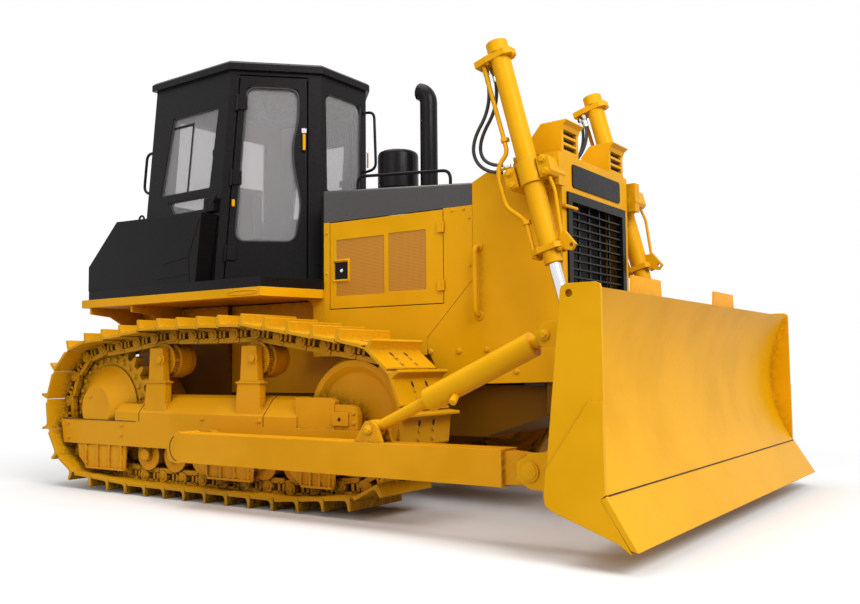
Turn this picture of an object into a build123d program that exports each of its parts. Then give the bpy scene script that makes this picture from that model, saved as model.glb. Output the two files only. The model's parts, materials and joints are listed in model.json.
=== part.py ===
from build123d import *
import math
import os

# Crawler dozer with a straight blade and an enclosed cab.
# Millimetres. +X is forward, +Y is left, +Z is up, and the ground is Z = 0.

# Fits
running_gap = 0.5
seat_gap = 0.3
pin_gap = 0.5
door_gap = 6.0
cab_door_gap = 10.0
swing_gap = 8.0

# Track loop
track_gauge = 1880.0
shoe_width = 510.0
shoe_count = 37
pin_to_shoe = 45.0
shoe_sink = 4.0
shoe_plate = 13.0
grouser_height = 65.0
grouser_base = 30.0
pin_to_rail = 57.0
link_width = 40.0
link_offset = 75.0
shoe_joint_gap = 6.0

# Wheels that the track runs on
sprocket_x = -1907.0
sprocket_rise = 155.0
sprocket_pitch_radius = 440.0
sprocket_teeth = 27
sprocket_width = 70.0
sprocket_tooth_depth = 62.0
idler_x = 509.0
idler_z = 575.0
idler_radius = 355.0
idler_flange = 22.0
idler_width = 170.0
roller_count = 6
roller_radius = 95.0
roller_first_x = -1370.0
roller_last_x = 60.0
roller_width = 224.0
roller_bracket = 25.0
carrier_radius = 110.0
carrier_x = (-1227.0, -307.0)
carrier_z = 948.0
carrier_width = 206.0
carrier_flange = 18.0
carrier_axle = 48.0

# Track frames
frame_inner_y = 770.0
frame_outer_y = 1120.0
frame_bottom_z = 330.0
frame_ceiling_z = 405.0
frame_top_z = 510.0
frame_wall = 25.0
cover_edge_z = 575.0
cover_top_z = 700.0
frame_rear_x = -1418.0
fork_x = 120.0
frame_front_x = 640.0
guard_rear_x = -2317.0
guard_rear_low_x = -2285.0
post_y = 1082.0
post_width = 56.0
post_top_z = 1031.0
post_shoulder_z = 797.0
post_flange = 12.0
guard_rib = 14.0
guard_low_z = 150.0
guard_places = ((-2120.0, -1550.0), (-800.0, -257.0), (40.0, 430.0))

# Blade lift pivot and push arms
trunnion_x = -607.0
trunnion_z = 384.0
trunnion_radius = 60.0
arm_y = 1360.0
arm_width = 160.0
arm_bottom_z = 292.0
arm_top_z = 476.0
arm_end_radius = 100.0
arm_front_x = 1770.0
arm_pin_x = 1939.0
arm_pin_z = 381.0
arm_pin_radius = 50.0

# Blade
blade_half_width = 1694.0
blade_tip_x = 2570.0
blade_tip_z = 101.0
blade_edge_x = 2429.0
blade_edge_z = 325.0
blade_top_x = 2416.0
blade_top_z = 1228.0
blade_hollow = 138.0
blade_plate = 32.0
end_plate = 25.0
end_rise = 25.0
edge_plate = 28.0
wear_plate = 9.0
wear_height = 406.0
wear_slope = (266.0, 385.0)
rod_guard_plate = 14.0
rod_guard_rise = 122.0
rod_guard_half = 225.0
brace_foot = (926.0, 545.0)
brace_head = (2009.0, 1035.0)
brace_foot_pin = 28.0
brace_head_pin = 30.0
brace_eye = 52.0
brace_lug_inner = 34.0
brace_lug_outer = 60.0

# Lift cylinders
lift_y = 687.0
lift_top = (1343.0, 2825.0)
lift_pivot_z = 2005.0
lift_eye = (1932.0, 600.0)
barrel_radius = 60.0
barrel_bore = 50.0
barrel_below_pivot = 484.0
gland_length = 72.0
gland_radius = 54.0
rod_radius = 35.0
rod_length = 1455.0
eye_radius = 58.0
eye_width = 76.0
eye_pin = 30.0
flange_along = 70.0
flange_plate = 40.0
flange_rear = 155.0
flange_front = 92.0
flange_half = 62.0
yoke_reach = 150.0
hose_radius = 11.0
fitting_radius = 16.0
fitting_length = 45.0

# Hood and radiator guard
hood_half_width = 500.0
hood_rear_x = -190.0
hood_front_x = 1043.0
hood_strip_z = 1902.0
hood_rear_top_z = 2135.0
hood_front_top_z = 2048.0
hood_wall = 25.0
panel_bottom_z = 960.0
door_rear_x = -137.0
door_front_x = 823.0
door_bottom_z = 1286.0
guard_front_x = 1668.0
guard_knee = (1149.0, 2094.0)
guard_toe_x = 816.0
guard_heel = (690.0, 1000.0)
guard_seam = (1069.0, 1430.0)
guard_top_z = 2153.0
guard_bottom_z = 790.0
guard_wall = 30.0
grille_half_width = 440.0
grille_bottom_z = 1010.0
grille_top_z = 1925.0

# Cab, tank and decks
cab_front_x = -417.0
cab_front_half = 270.0
cab_mid_x = -882.0
cab_mid_half = 740.0
cab_rear_x = -1757.0
cab_rear_half = 700.0
cab_lean = 77.0
cab_base_z = 1500.0
cab_top_z = 3050.0
cab_wall = 50.0
roof_step = 28.0
roof_lip = 67.0
roof_overhang = 28.0
deck_thickness = 70.0
deck_corner = (-325.0, 985.0)
deck_front = (-190.0, 520.0)
deck_rear_x = -2250.0
fender_thickness = 62.0
fender_rear_x = -2324.0
tank_top_z = 2000.0
tank_half_width = 950.0
tank_front_x = -1010.0
tank_slope = 343.0
tank_rear_height = 190.0
glass_thickness = 8.0

# Frame, power train and drawbar
case_half_width = 450.0
case_front_x = -1200.0
case_rear_x = -2260.0
belly_z = 440.0
drawbar_rear_x = -2570.0
drawbar_pin_radius = 22.0

sprocket_z = sprocket_rise + sprocket_pitch_radius
lift_slope = (lift_eye[0] - lift_top[0]) / (lift_eye[1] - lift_top[1])
lift_pivot = (lift_top[0] + lift_slope * (lift_pivot_z - lift_top[1]), lift_pivot_z)


def side_plane(y):
    """Upright plane along the machine at the given Y. Its sketch axes are X and Z."""
    return Plane(origin=(0, y, 0), x_dir=(1, 0, 0), z_dir=(0, -1, 0))


def cross_plane(x):
    """Upright plane across the machine at the given X. Its sketch axes are Y and Z."""
    return Plane(origin=(x, 0, 0), x_dir=(0, 1, 0), z_dir=(1, 0, 0))


def side_slab(points, y_from, y_to, mode=Mode.ADD):
    """A plate with a side outline (X, Z), reaching from one Y to another."""
    with BuildSketch(side_plane(y_from)) as outline:
        Polygon(*points, align=None)
    extrude(outline.sketch, amount=y_from - y_to, mode=mode)


def side_disc(centre, radius, y_from, y_to, mode=Mode.ADD):
    """A round bar across the machine, centred at (X, Z)."""
    with BuildSketch(side_plane(y_from)) as outline:
        with Locations(centre):
            Circle(radius)
    extrude(outline.sketch, amount=y_from - y_to, mode=mode)


def cross_slab(points, x_from, x_to, mode=Mode.ADD):
    """A beam with a cross outline (Y, Z), reaching from one X to another."""
    with BuildSketch(cross_plane(x_from)) as outline:
        Polygon(*points, align=None)
    extrude(outline.sketch, amount=x_to - x_from, mode=mode)


def plan_slab(points, z_from, z_to, mode=Mode.ADD):
    """A plate with a plan outline (X, Y), reaching from one Z to another."""
    with BuildSketch(Plane.XY.offset(z_from)) as outline:
        Polygon(*points, align=None)
    extrude(outline.sketch, amount=z_to - z_from, mode=mode)


def block(x_range, y_range, z_range, mode=Mode.ADD):
    """A box between two corners."""
    corners = [(x_range[0], y_range[0]), (x_range[1], y_range[0])]
    corners += [(x_range[1], y_range[1]), (x_range[0], y_range[1])]
    plan_slab(corners, z_range[0], z_range[1], mode)


def rod_between(start, end, radius, mode=Mode.ADD):
    """A round bar from one point to another."""
    along = Vector(end) - Vector(start)
    with BuildSketch(Plane(origin=start, z_dir=along)) as section:
        Circle(radius)
    extrude(section.sketch, amount=along.length, mode=mode)


def turned(points, centre, mode=Mode.ADD):
    """A turned piece whose axis runs across the machine at (X, Z). Points are (radius, Y)."""
    x, z = centre
    with BuildSketch(Plane(origin=(x, 0, z), x_dir=(1, 0, 0), z_dir=(0, 0, 1))) as section:
        Polygon(*points, align=None)
    revolve(section.sketch, axis=Axis((x, 0, z), (0, 1, 0)), mode=mode)


def save(builder, label):
    """Name a finished piece and write it."""
    builder.part.label = label
    export_step(builder.part, f"parts/{label}.step")


os.makedirs("parts", exist_ok=True)

# Track loop: the line of the link pins, wrapped round the wheels inside it
ground_pin_z = pin_to_shoe + shoe_plate + grouser_height
roller_z = ground_pin_z + pin_to_rail + roller_radius
pin_wheels = [
    (sprocket_x, sprocket_z, sprocket_pitch_radius),
    (roller_first_x, roller_z, roller_radius + pin_to_rail),
    (roller_last_x, roller_z, roller_radius + pin_to_rail),
    (idler_x, idler_z, idler_radius + pin_to_rail),
    (carrier_x[1], carrier_z, carrier_radius + pin_to_rail),
    (carrier_x[0], carrier_z, carrier_radius + pin_to_rail),
]


def belt(wheels, growth):
    """Closed belt line round wheels (x, z, radius), with every radius grown by the same amount."""
    spans = []
    for (x1, z1, r1), (x2, z2, r2) in zip(wheels, wheels[1:] + wheels[:1]):
        heading = math.atan2(z2 - z1, x2 - x1)
        outward = heading - math.acos((r1 - r2) / math.hypot(x2 - x1, z2 - z1))
        reach = (math.cos(outward), math.sin(outward))
        leave = (x1 + (r1 + growth) * reach[0], z1 + (r1 + growth) * reach[1])
        arrive = (x2 + (r2 + growth) * reach[0], z2 + (r2 + growth) * reach[1])
        spans.append((leave, arrive, outward))
    with BuildLine() as line:
        for i, (leave, arrive, outward) in enumerate(spans):
            next_leave, _, next_outward = spans[(i + 1) % len(spans)]
            x, z, radius = wheels[(i + 1) % len(wheels)]
            middle = outward + ((next_outward - outward) % (2 * math.pi)) / 2
            crest = (
                x + (radius + growth) * math.cos(middle),
                z + (radius + growth) * math.sin(middle),
            )
            Line(leave, arrive)
            ThreePointArc(arrive, crest, next_leave)
    return line.wire()


pin_line = belt(pin_wheels, 0)
shoe_pitch = pin_line.length / shoe_count
shoe_half = shoe_pitch / 2 - shoe_joint_gap / 2
shoe_outer = pin_to_shoe + shoe_plate
shoe_profile = [
    (-shoe_half, pin_to_shoe - shoe_sink),
    (shoe_half, pin_to_shoe - shoe_sink),
    (shoe_half, shoe_outer),
    (-shoe_half + grouser_base, shoe_outer),
    (-shoe_half, shoe_outer + grouser_height),
]
track_y = track_gauge / 2

with BuildPart() as track_right:
    for rail_y in (-track_y - link_offset, -track_y + link_offset):
        with BuildSketch(side_plane(rail_y)) as rail:
            make_face(belt(pin_wheels, pin_to_shoe).edges())
            make_face(belt(pin_wheels, -pin_to_rail).edges(), mode=Mode.SUBTRACT)
        extrude(amount=link_width / 2, both=True)
    with BuildSketch(side_plane(-track_y)) as shoes:
        for i in range(shoe_count):
            place = pin_line.position_at(i * shoe_pitch, position_mode=PositionMode.LENGTH)
            along = pin_line.tangent_at(i * shoe_pitch, position_mode=PositionMode.LENGTH)
            turn = math.degrees(math.atan2(along.Y, along.X)) + 180
            with Locations(Location((place.X, place.Y, 0), (0, 0, turn))):
                Polygon(*shoe_profile, align=None)
    extrude(amount=shoe_width / 2, both=True)
save(track_right, "track_right")

with BuildPart() as track_left:
    mirror(track_right.part, about=Plane.XZ)
save(track_left, "track_left")
print("shoe pitch", round(shoe_pitch, 2))

# Sprockets
sprocket_root = sprocket_pitch_radius - sprocket_tooth_depth / 2
sprocket_tip = sprocket_pitch_radius + sprocket_tooth_depth / 2
sprocket_bore = 180.0
tooth_angle = 2 * math.pi / sprocket_teeth
tooth_shares = [(-0.30, 0), (-0.10, 1), (0.10, 1), (0.30, 0)]

with BuildPart() as sprockets:
    tooth_points = []
    for i in range(sprocket_teeth):
        for share, high in tooth_shares:
            angle = (i + share) * tooth_angle
            reach = sprocket_tip if high else sprocket_root
            point = (sprocket_x + reach * math.cos(angle), sprocket_z + reach * math.sin(angle))
            tooth_points.append(point)
    sprocket_outer_y = -track_y - sprocket_width / 2
    sprocket_inner_y = -track_y + sprocket_width / 2
    side_slab(tooth_points, sprocket_inner_y, sprocket_outer_y)
    sprocket_centre = (sprocket_x, sprocket_z)
    side_disc(sprocket_centre, sprocket_bore, sprocket_inner_y, sprocket_outer_y, Mode.SUBTRACT)
    mirror(about=Plane.XZ)
save(sprockets, "sprockets")

# Final drives: a drum from the case to the sprocket, and the domed cover outside it
drive_drum = 250.0
dome_radius = 322.0
dome_end_radius = 165.0
dome_start_y = -track_y - sprocket_width / 2 - 10
dome_end_y = -frame_outer_y + 8
guard_inner_y = -1058.0

with BuildPart() as final_drives:
    turned(
        [
            (0, dome_start_y),
            (dome_radius, dome_start_y),
            (dome_radius - 25, dome_start_y - 15),
            (dome_end_radius + 12, dome_end_y + 12),
            (dome_end_radius, dome_end_y),
            (0, dome_end_y),
        ],
        sprocket_centre,
    )
    split(bisect_by=Plane.XY.offset(frame_top_z), keep=Keep.TOP)
    hub_bore = sprocket_bore - seat_gap
    side_disc(sprocket_centre, hub_bore, -case_half_width, guard_inner_y + 10)
    side_disc(sprocket_centre, drive_drum, -case_half_width, sprocket_inner_y + 10)
    mirror(about=Plane.XZ)
save(final_drives, "final_drives")

# Idlers with their axles and bearing blocks
idler_centre = (idler_x, idler_z)
idler_axle = 45.0
idler_disc = 318.0
idler_web = 55.0
fork_outer_y = track_y + roller_width / 2 + 6
fork_inner_y = track_y - roller_width / 2 - 6
idler_block_half = 88.0
idler_block_height = 150.0
tread = idler_radius - running_gap

with BuildPart() as idlers:
    rim = idler_width / 2
    crown = idler_width / 4
    turned(
        [
            (0, -track_y - idler_web),
            (idler_disc - 40, -track_y - idler_web),
            (idler_disc, -track_y - rim),
            (tread, -track_y - rim),
            (tread, -track_y - crown),
            (tread + idler_flange, -track_y - crown),
            (tread + idler_flange, -track_y + crown),
            (tread, -track_y + crown),
            (tread, -track_y + rim),
            (idler_disc, -track_y + rim),
            (idler_disc - 40, -track_y + idler_web),
            (0, -track_y + idler_web),
        ],
        idler_centre,
    )
    side_disc(idler_centre, idler_axle, -frame_inner_y - 10, -frame_outer_y + 20)
    block_low = frame_top_z
    block_high = frame_top_z + idler_block_height
    block_nose = 55.0
    block_outline = [
        (idler_x - idler_block_half, block_low),
        (idler_x + idler_block_half, block_low),
        (idler_x + idler_block_half, block_high - block_nose),
        (idler_x + idler_block_half - block_nose * 0.3, block_high - block_nose * 0.3),
        (idler_x + idler_block_half - block_nose, block_high),
        (idler_x - idler_block_half, block_high),
    ]
    side_slab(block_outline, -fork_outer_y - 2, -frame_outer_y + 15)
    side_slab(block_outline, -frame_inner_y - 8, -fork_inner_y + 2)
    mirror(about=Plane.XZ)
save(idlers, "idlers")

# Track rollers hang under the track frames
roller_step = (roller_last_x - roller_first_x) / (roller_count - 1)
roller_tread = roller_radius - running_gap
roller_bracket_half = 38.0

with BuildPart() as track_rollers:
    half = roller_width / 2
    for i in range(roller_count):
        roller_x = roller_first_x + i * roller_step
        side_disc((roller_x, roller_z), roller_tread, -track_y - half, -track_y + half)
        for end in (-1, 1):
            near_y = -track_y + end * half
            far_y = near_y + end * roller_bracket
            y_range = (min(near_y, far_y), max(near_y, far_y))
            x_range = (roller_x - roller_bracket_half, roller_x + roller_bracket_half)
            block(x_range, y_range, (roller_z - roller_bracket_half, frame_ceiling_z))
    mirror(about=Plane.XZ)
save(track_rollers, "track_rollers")

# Carrier rollers stand out from posts on the track frames
with BuildPart() as carrier_rollers:
    half = carrier_width / 2
    tread = carrier_radius - running_gap
    groove = link_offset - link_width / 2 - 5
    for x in carrier_x:
        turned(
            [
                (0, -track_y - half),
                (tread, -track_y - half),
                (tread, -track_y - groove),
                (tread + carrier_flange, -track_y - groove),
                (tread + carrier_flange, -track_y + groove),
                (tread, -track_y + groove),
                (tread, -track_y + half),
                (0, -track_y + half),
            ],
            (x, carrier_z),
        )
        side_disc((x, carrier_z), carrier_axle, -track_y - half, -post_y + post_width / 2)
    mirror(about=Plane.XZ)
save(carrier_rollers, "carrier_rollers")


# Track frames: a covered beam over the rollers, posts, idler fork and outer guard
def frame_post(x):
    """A post for a carrier roller: flared foot, shoulder and a narrow head."""
    foot = 118.0
    waist = 78.0
    side_slab(
        [
            (x - foot, frame_top_z),
            (x + foot + 30, frame_top_z),
            (x + foot - 20, cover_edge_z + 60),
            (x + waist + 20, post_shoulder_z),
            (x + waist, post_shoulder_z + 12),
            (x + waist - 12, post_top_z),
            (x - waist + 12, post_top_z),
            (x - waist, post_shoulder_z + 12),
            (x - waist - 25, post_shoulder_z),
            (x - foot, cover_edge_z + 60),
        ],
        -post_y + post_width / 2,
        -post_y - post_width / 2,
    )
    lip = (post_width + post_flange) / 2
    flange_z = (post_shoulder_z - post_flange, post_shoulder_z)
    block((x - waist - 38, x + waist + 34), (-post_y - lip, -post_y + lip), flange_z)


def roller_guard(x_from, x_to, low_z):
    """A guard plate in front of the rollers, with upright ribs and a foot lip."""
    slope = 120.0
    outer = -frame_outer_y + 10
    side_slab(
        [
            (x_from, frame_bottom_z),
            (x_to, frame_bottom_z),
            (x_to - 20, low_z),
            (x_from + slope, low_z),
            (x_from + 20, low_z + 80),
        ],
        -frame_outer_y + frame_wall + 2,
        outer,
    )
    rib_step = (x_to - x_from - slope - 40) / 3
    for i in range(4):
        rib_x = x_from + slope - 10 + i * rib_step
        rib_x_range = (rib_x, rib_x + guard_rib)
        block(rib_x_range, (outer - guard_rib, outer), (low_z + guard_rib, frame_bottom_z))
    block((x_from + slope, x_to - 20), (outer - guard_rib, outer), (low_z, low_z + guard_rib))


with BuildPart() as track_frame_right:
    cross_slab(
        [
            (-frame_inner_y, frame_bottom_z),
            (-frame_inner_y - frame_wall, frame_bottom_z),
            (-frame_inner_y - frame_wall, frame_ceiling_z),
            (-frame_outer_y + frame_wall, frame_ceiling_z),
            (-frame_outer_y + frame_wall, frame_bottom_z),
            (-frame_outer_y, frame_bottom_z),
            (-frame_outer_y, cover_edge_z),
            (-frame_outer_y + 90, cover_top_z - 18),
            (-frame_outer_y + 130, cover_top_z),
            (-frame_inner_y - 130, cover_top_z),
            (-frame_inner_y - 90, cover_top_z - 18),
            (-frame_inner_y, cover_edge_z),
        ],
        frame_rear_x,
        fork_x,
    )
    for x in carrier_x:
        frame_post(x)
    fork_points = [
        (fork_x - 15, frame_bottom_z),
        (frame_front_x - 60, frame_bottom_z),
        (frame_front_x, frame_bottom_z + 60),
        (frame_front_x, frame_top_z),
        (fork_x - 15, frame_top_z),
    ]
    side_slab(fork_points, -fork_outer_y, -frame_outer_y)
    side_slab(fork_points, -fork_inner_y, -frame_inner_y)
    yoke_points = [
        (fork_x - 15, frame_top_z),
        (idler_x - idler_block_half, frame_top_z),
        (idler_x - idler_block_half, cover_top_z - 20),
        (idler_x - idler_block_half - 40, cover_top_z),
        (fork_x - 15, cover_top_z),
    ]
    side_slab(yoke_points, -fork_outer_y, -frame_outer_y + 10)
    outer_guard = [
        (frame_rear_x + 10, frame_bottom_z),
        (frame_rear_x + 10, frame_top_z),
        (guard_rear_x, frame_top_z),
        (guard_rear_low_x, frame_bottom_z),
    ]
    side_slab(outer_guard, guard_inner_y, -frame_outer_y)
    for guard_x in guard_places:
        roller_guard(guard_x[0], guard_x[1], guard_low_z)
    cover_rear_x = sprocket_x + dome_end_radius + 75
    cross_slab(
        [
            (guard_inner_y, frame_top_z),
            (-frame_outer_y, frame_top_z),
            (-frame_outer_y, cover_edge_z),
            (guard_inner_y, cover_edge_z + 60),
        ],
        cover_rear_x,
        frame_rear_x + 10,
    )
    trunnion_end_y = -arm_y - arm_width / 2 + 35
    trunnion = (trunnion_x, trunnion_z)
    side_disc(trunnion, trunnion_radius, -frame_outer_y + 5, trunnion_end_y)
    side_disc(trunnion, trunnion_radius + 35, -frame_outer_y + 5, -frame_outer_y - 60)
save(track_frame_right, "track_frame_right")

with BuildPart() as track_frame_left:
    mirror(track_frame_right.part, about=Plane.XZ)
save(track_frame_left, "track_frame_left")

# Main frame: two beams, belly plate and front cross member
beam_inner = 300.0
beam_outer = 400.0
beam_low = 600.0
beam_high = 765.0
beam_front_x = 1560.0
belly_front_x = 1050.0

with BuildPart() as main_frame:
    side_slab(
        [
            (case_front_x, belly_z),
            (belly_front_x, belly_z),
            (beam_front_x, beam_low),
            (beam_front_x, beam_high),
            (case_front_x, beam_high),
        ],
        -beam_outer,
        beam_outer,
    )
    side_slab(
        [
            (case_front_x, belly_z + 30),
            (belly_front_x - 10, belly_z + 30),
            (beam_front_x - 180, beam_low),
            (beam_front_x - 180, beam_high),
            (case_front_x, beam_high),
        ],
        -beam_inner,
        beam_inner,
        Mode.SUBTRACT,
    )
    cross_x = (beam_front_x - 30, guard_front_x - guard_wall)
    cross_half = hood_half_width - guard_wall
    block(cross_x, (-cross_half, cross_half), (beam_low, beam_high + 135))
save(main_frame, "main_frame")

# Transmission and steering case at the rear
with BuildPart() as transmission_case:
    side_slab(
        [
            (case_front_x, belly_z),
            (case_rear_x + 160, belly_z),
            (case_rear_x, belly_z + 160),
            (case_rear_x, cab_base_z - 380),
            (case_rear_x + 220, cab_base_z - deck_thickness - fender_thickness),
            (case_front_x, cab_base_z - deck_thickness - fender_thickness),
        ],
        -case_half_width,
        case_half_width,
    )
save(transmission_case, "transmission_case")

# Drawbar: two jaw plates with a pin hole
jaw_low = 520.0
jaw_gap = 90.0
jaw_plate = 45.0
jaw_half_width = 130.0
drawbar_pin_x = drawbar_rear_x + 95.0

with BuildPart() as drawbar:
    for low in (jaw_low, jaw_low + jaw_plate + jaw_gap):
        block((drawbar_rear_x, case_rear_x), (-jaw_half_width, jaw_half_width), (low, low + jaw_plate))
    fillet(drawbar.edges().filter_by(Axis.Z).group_by(Axis.X)[0], 70)
    high = jaw_low + 2 * jaw_plate + jaw_gap
    root_half = jaw_half_width + 60
    block((case_rear_x - 60, case_rear_x), (-root_half, root_half), (jaw_low - 40, high + 40))
    with Locations((drawbar_pin_x, 0, high)):
        Hole(drawbar_pin_radius, depth=high - jaw_low)
save(drawbar, "drawbar")

# Engine as one plain block
engine_half_width = 290.0
engine_top_z = hood_strip_z - 122
sump_half_width = 380.0
sump_height = 235.0

with BuildPart() as engine_block:
    engine_x = (hood_rear_x + 70, hood_front_x - 23)
    block(engine_x, (-engine_half_width, engine_half_width), (beam_high, engine_top_z))
    block(engine_x, (-sump_half_width, sump_half_width), (beam_high, beam_high + sump_height))
save(engine_block, "engine_block")

# Equalizer bar under the frame, from one track frame to the other
with BuildPart() as equalizer_bar:
    bar_x = 300.0
    bar_half = 70.0
    side_slab(
        [
            (bar_x - bar_half, belly_z - 130),
            (bar_x + bar_half, belly_z - 130),
            (bar_x + bar_half, belly_z),
            (bar_x - bar_half, belly_z),
        ],
        -frame_inner_y,
        frame_inner_y,
    )
save(equalizer_bar, "equalizer_bar")

# Radiator guard: two side plates, top, front frame with the grille opening
guard_side = [
    (hood_front_x, hood_front_top_z - 4),
    guard_knee,
    (guard_front_x, guard_top_z),
    (guard_front_x, guard_bottom_z),
    (guard_toe_x, guard_bottom_z - 20),
    guard_heel,
    (guard_heel[0], guard_seam[0]),
    (hood_front_x, guard_seam[1]),
]

with BuildPart() as radiator_guard:
    side_slab(guard_side, -hood_half_width, hood_half_width)
    inner = hood_half_width - guard_wall
    hollow = [
        (hood_front_x - 400, hood_front_top_z - 4 - guard_wall),
        (guard_knee[0], guard_knee[1] - guard_wall),
        (guard_front_x - guard_wall, guard_top_z - guard_wall),
        (guard_front_x - guard_wall, guard_bottom_z - 60),
        (hood_front_x - 400, guard_bottom_z - 60),
    ]
    side_slab(hollow, -inner, inner, Mode.SUBTRACT)
    opening_half = grille_half_width
    opening = [
        (-opening_half, grille_bottom_z),
        (opening_half, grille_bottom_z),
        (opening_half, grille_top_z),
        (-opening_half, grille_top_z),
    ]
    cross_slab(opening, guard_front_x - 2 * guard_wall, guard_front_x + 10, Mode.SUBTRACT)
    boss_y = lift_y - 150.0
    for side in (-1, 1):
        pivot_y = (side * (hood_half_width - 5), side * boss_y)
        side_disc(lift_pivot, 85, pivot_y[0], pivot_y[1])
        side_disc(lift_pivot, 45 + pin_gap, side * (inner - 5), side * (boss_y + 5), Mode.SUBTRACT)
save(radiator_guard, "radiator_guard")

# Grille: frame, upright bars and slats
slat_count = 15
bar_count = 4
plate_half_width = 362.0
plate_height = 140.0

with BuildPart() as grille:
    rim = 55.0
    half = grille_half_width - seat_gap
    low = grille_bottom_z + seat_gap
    high = grille_top_z - seat_gap
    x_back = guard_front_x - guard_wall
    x_front = guard_front_x + 12
    outline = [(-half, low), (half, low), (half, high), (-half, high)]
    cross_slab(outline, x_back, x_front)
    inside = [
        (-half + rim, low + rim),
        (half - rim, low + rim),
        (half - rim, high - rim),
        (-half + rim, high - rim),
    ]
    cross_slab(inside, x_back - 5, x_front + 5, Mode.SUBTRACT)
    slat_step = (high - low - 2 * rim) / (slat_count + 1)
    for i in range(slat_count):
        z = low + rim + (i + 1) * slat_step
        block((x_back + 4, x_back + 30), (-half + rim - 5, half - rim + 5), (z - 5, z + 5))
    bar_step = 2 * (half - rim) / (bar_count + 1)
    for i in range(bar_count):
        y = -half + rim + (i + 1) * bar_step
        block((x_back, x_back + 12), (y - 8, y + 8), (low + rim - 5, high - rim + 5))
    with BuildSketch(cross_plane(guard_front_x)) as plate:
        with Locations((0, (grille_top_z + guard_top_z) / 2 - 6)):
            Rectangle(2 * plate_half_width, plate_height)
        chamfer(plate.vertices(), 14)
    extrude(plate.sketch, amount=8)
save(grille, "grille")

# Radiator core behind the grille
core_back = 288.0
core_depth = 140.0

with BuildPart() as radiator_core:
    core_x = (guard_front_x - core_back, guard_front_x - core_back + core_depth)
    block(core_x, (-inner, inner), (beam_high, grille_top_z + 35))
save(radiator_core, "radiator_core")

# Head lamp housings on the guard


def guard_z(x):
    """Height of the radiator guard's top at a place along it."""
    share = (x - guard_knee[0]) / (guard_front_x - guard_knee[0])
    return guard_knee[1] + share * (guard_top_z - guard_knee[1])


lamp_inner_y = 235.0
lamp_outer_y = 470.0
lamp_top_z = 2358.0
slot_height = 30.0
slot_step = 46.0

with BuildPart() as lamp_housings:
    lamp_rear_x = guard_front_x - 210
    lamp_face_x = guard_front_x - 12
    side_slab(
        [
            (lamp_rear_x, guard_z(lamp_rear_x)),
            (lamp_face_x, guard_z(lamp_face_x)),
            (lamp_face_x, lamp_top_z - 62),
            (lamp_face_x + 14, lamp_top_z - 28),
            (lamp_face_x + 40, lamp_top_z - 8),
            (lamp_face_x + 34, lamp_top_z),
            (lamp_rear_x + 62, lamp_top_z - 6),
            (lamp_rear_x, lamp_top_z - 78),
        ],
        -lamp_inner_y,
        -lamp_outer_y,
    )
    for i in range(3):
        z = guard_z(lamp_face_x) + 30 + i * slot_step
        block(
            (guard_front_x - 90, guard_front_x + 20),
            (-lamp_outer_y + 30, -lamp_inner_y - 30),
            (z, z + slot_height),
            Mode.SUBTRACT,
        )
    mirror(about=Plane.XZ)
save(lamp_housings, "lamp_housings")

# Hood top with its black side strips
with BuildPart() as hood_top:
    hood_side = [
        (hood_rear_x, hood_strip_z),
        (hood_front_x - 2, hood_strip_z),
        (hood_front_x - 2, hood_front_top_z),
        (hood_rear_x, hood_rear_top_z),
    ]
    side_slab(hood_side, -hood_half_width, hood_half_width)
    fillet(hood_top.faces().sort_by(Axis.Z)[-1].edges().filter_by(Axis.Y, reverse=True), 20)
    inner_half = hood_half_width - hood_wall
    hood_inside = [
        (hood_rear_x - 10, hood_strip_z - 10),
        (hood_front_x + 10, hood_strip_z - 10),
        (hood_front_x + 10, hood_front_top_z - hood_wall),
        (hood_rear_x - 10, hood_rear_top_z - hood_wall),
    ]
    side_slab(hood_inside, -inner_half, inner_half, Mode.SUBTRACT)
save(hood_top, "hood_top")

# Fixed hood side panels round the engine doors
with BuildPart() as hood_panels:
    side_slab(
        [
            (hood_rear_x, panel_bottom_z),
            (guard_heel[0] - 2, panel_bottom_z),
            (guard_heel[0] - 2, guard_seam[0] + 2),
            (hood_front_x - 2, guard_seam[1] + 2),
            (hood_front_x - 2, hood_strip_z),
            (hood_rear_x, hood_strip_z),
        ],
        -hood_half_width + hood_wall,
        -hood_half_width,
    )
    side_slab(
        [
            (door_rear_x, door_bottom_z),
            (door_front_x, door_bottom_z),
            (door_front_x, hood_strip_z + 10),
            (door_rear_x, hood_strip_z + 10),
        ],
        -hood_half_width + hood_wall + 5,
        -hood_half_width - 5,
        Mode.SUBTRACT,
    )
    mirror(about=Plane.XZ)
save(hood_panels, "hood_panels")

# Engine side doors, hinged at their front edges
hinge_radius = 9.0
hinge_length = 70.0
hinge_leaf = 45.0
screen_depth = 5.0
screen_gap = 36.0
latch_margin = 42.0
latch_half = 60.0
latch_rim = 22.0
latch_depth = 14.0
hinge_y = -hood_half_width - hinge_radius - running_gap

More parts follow.
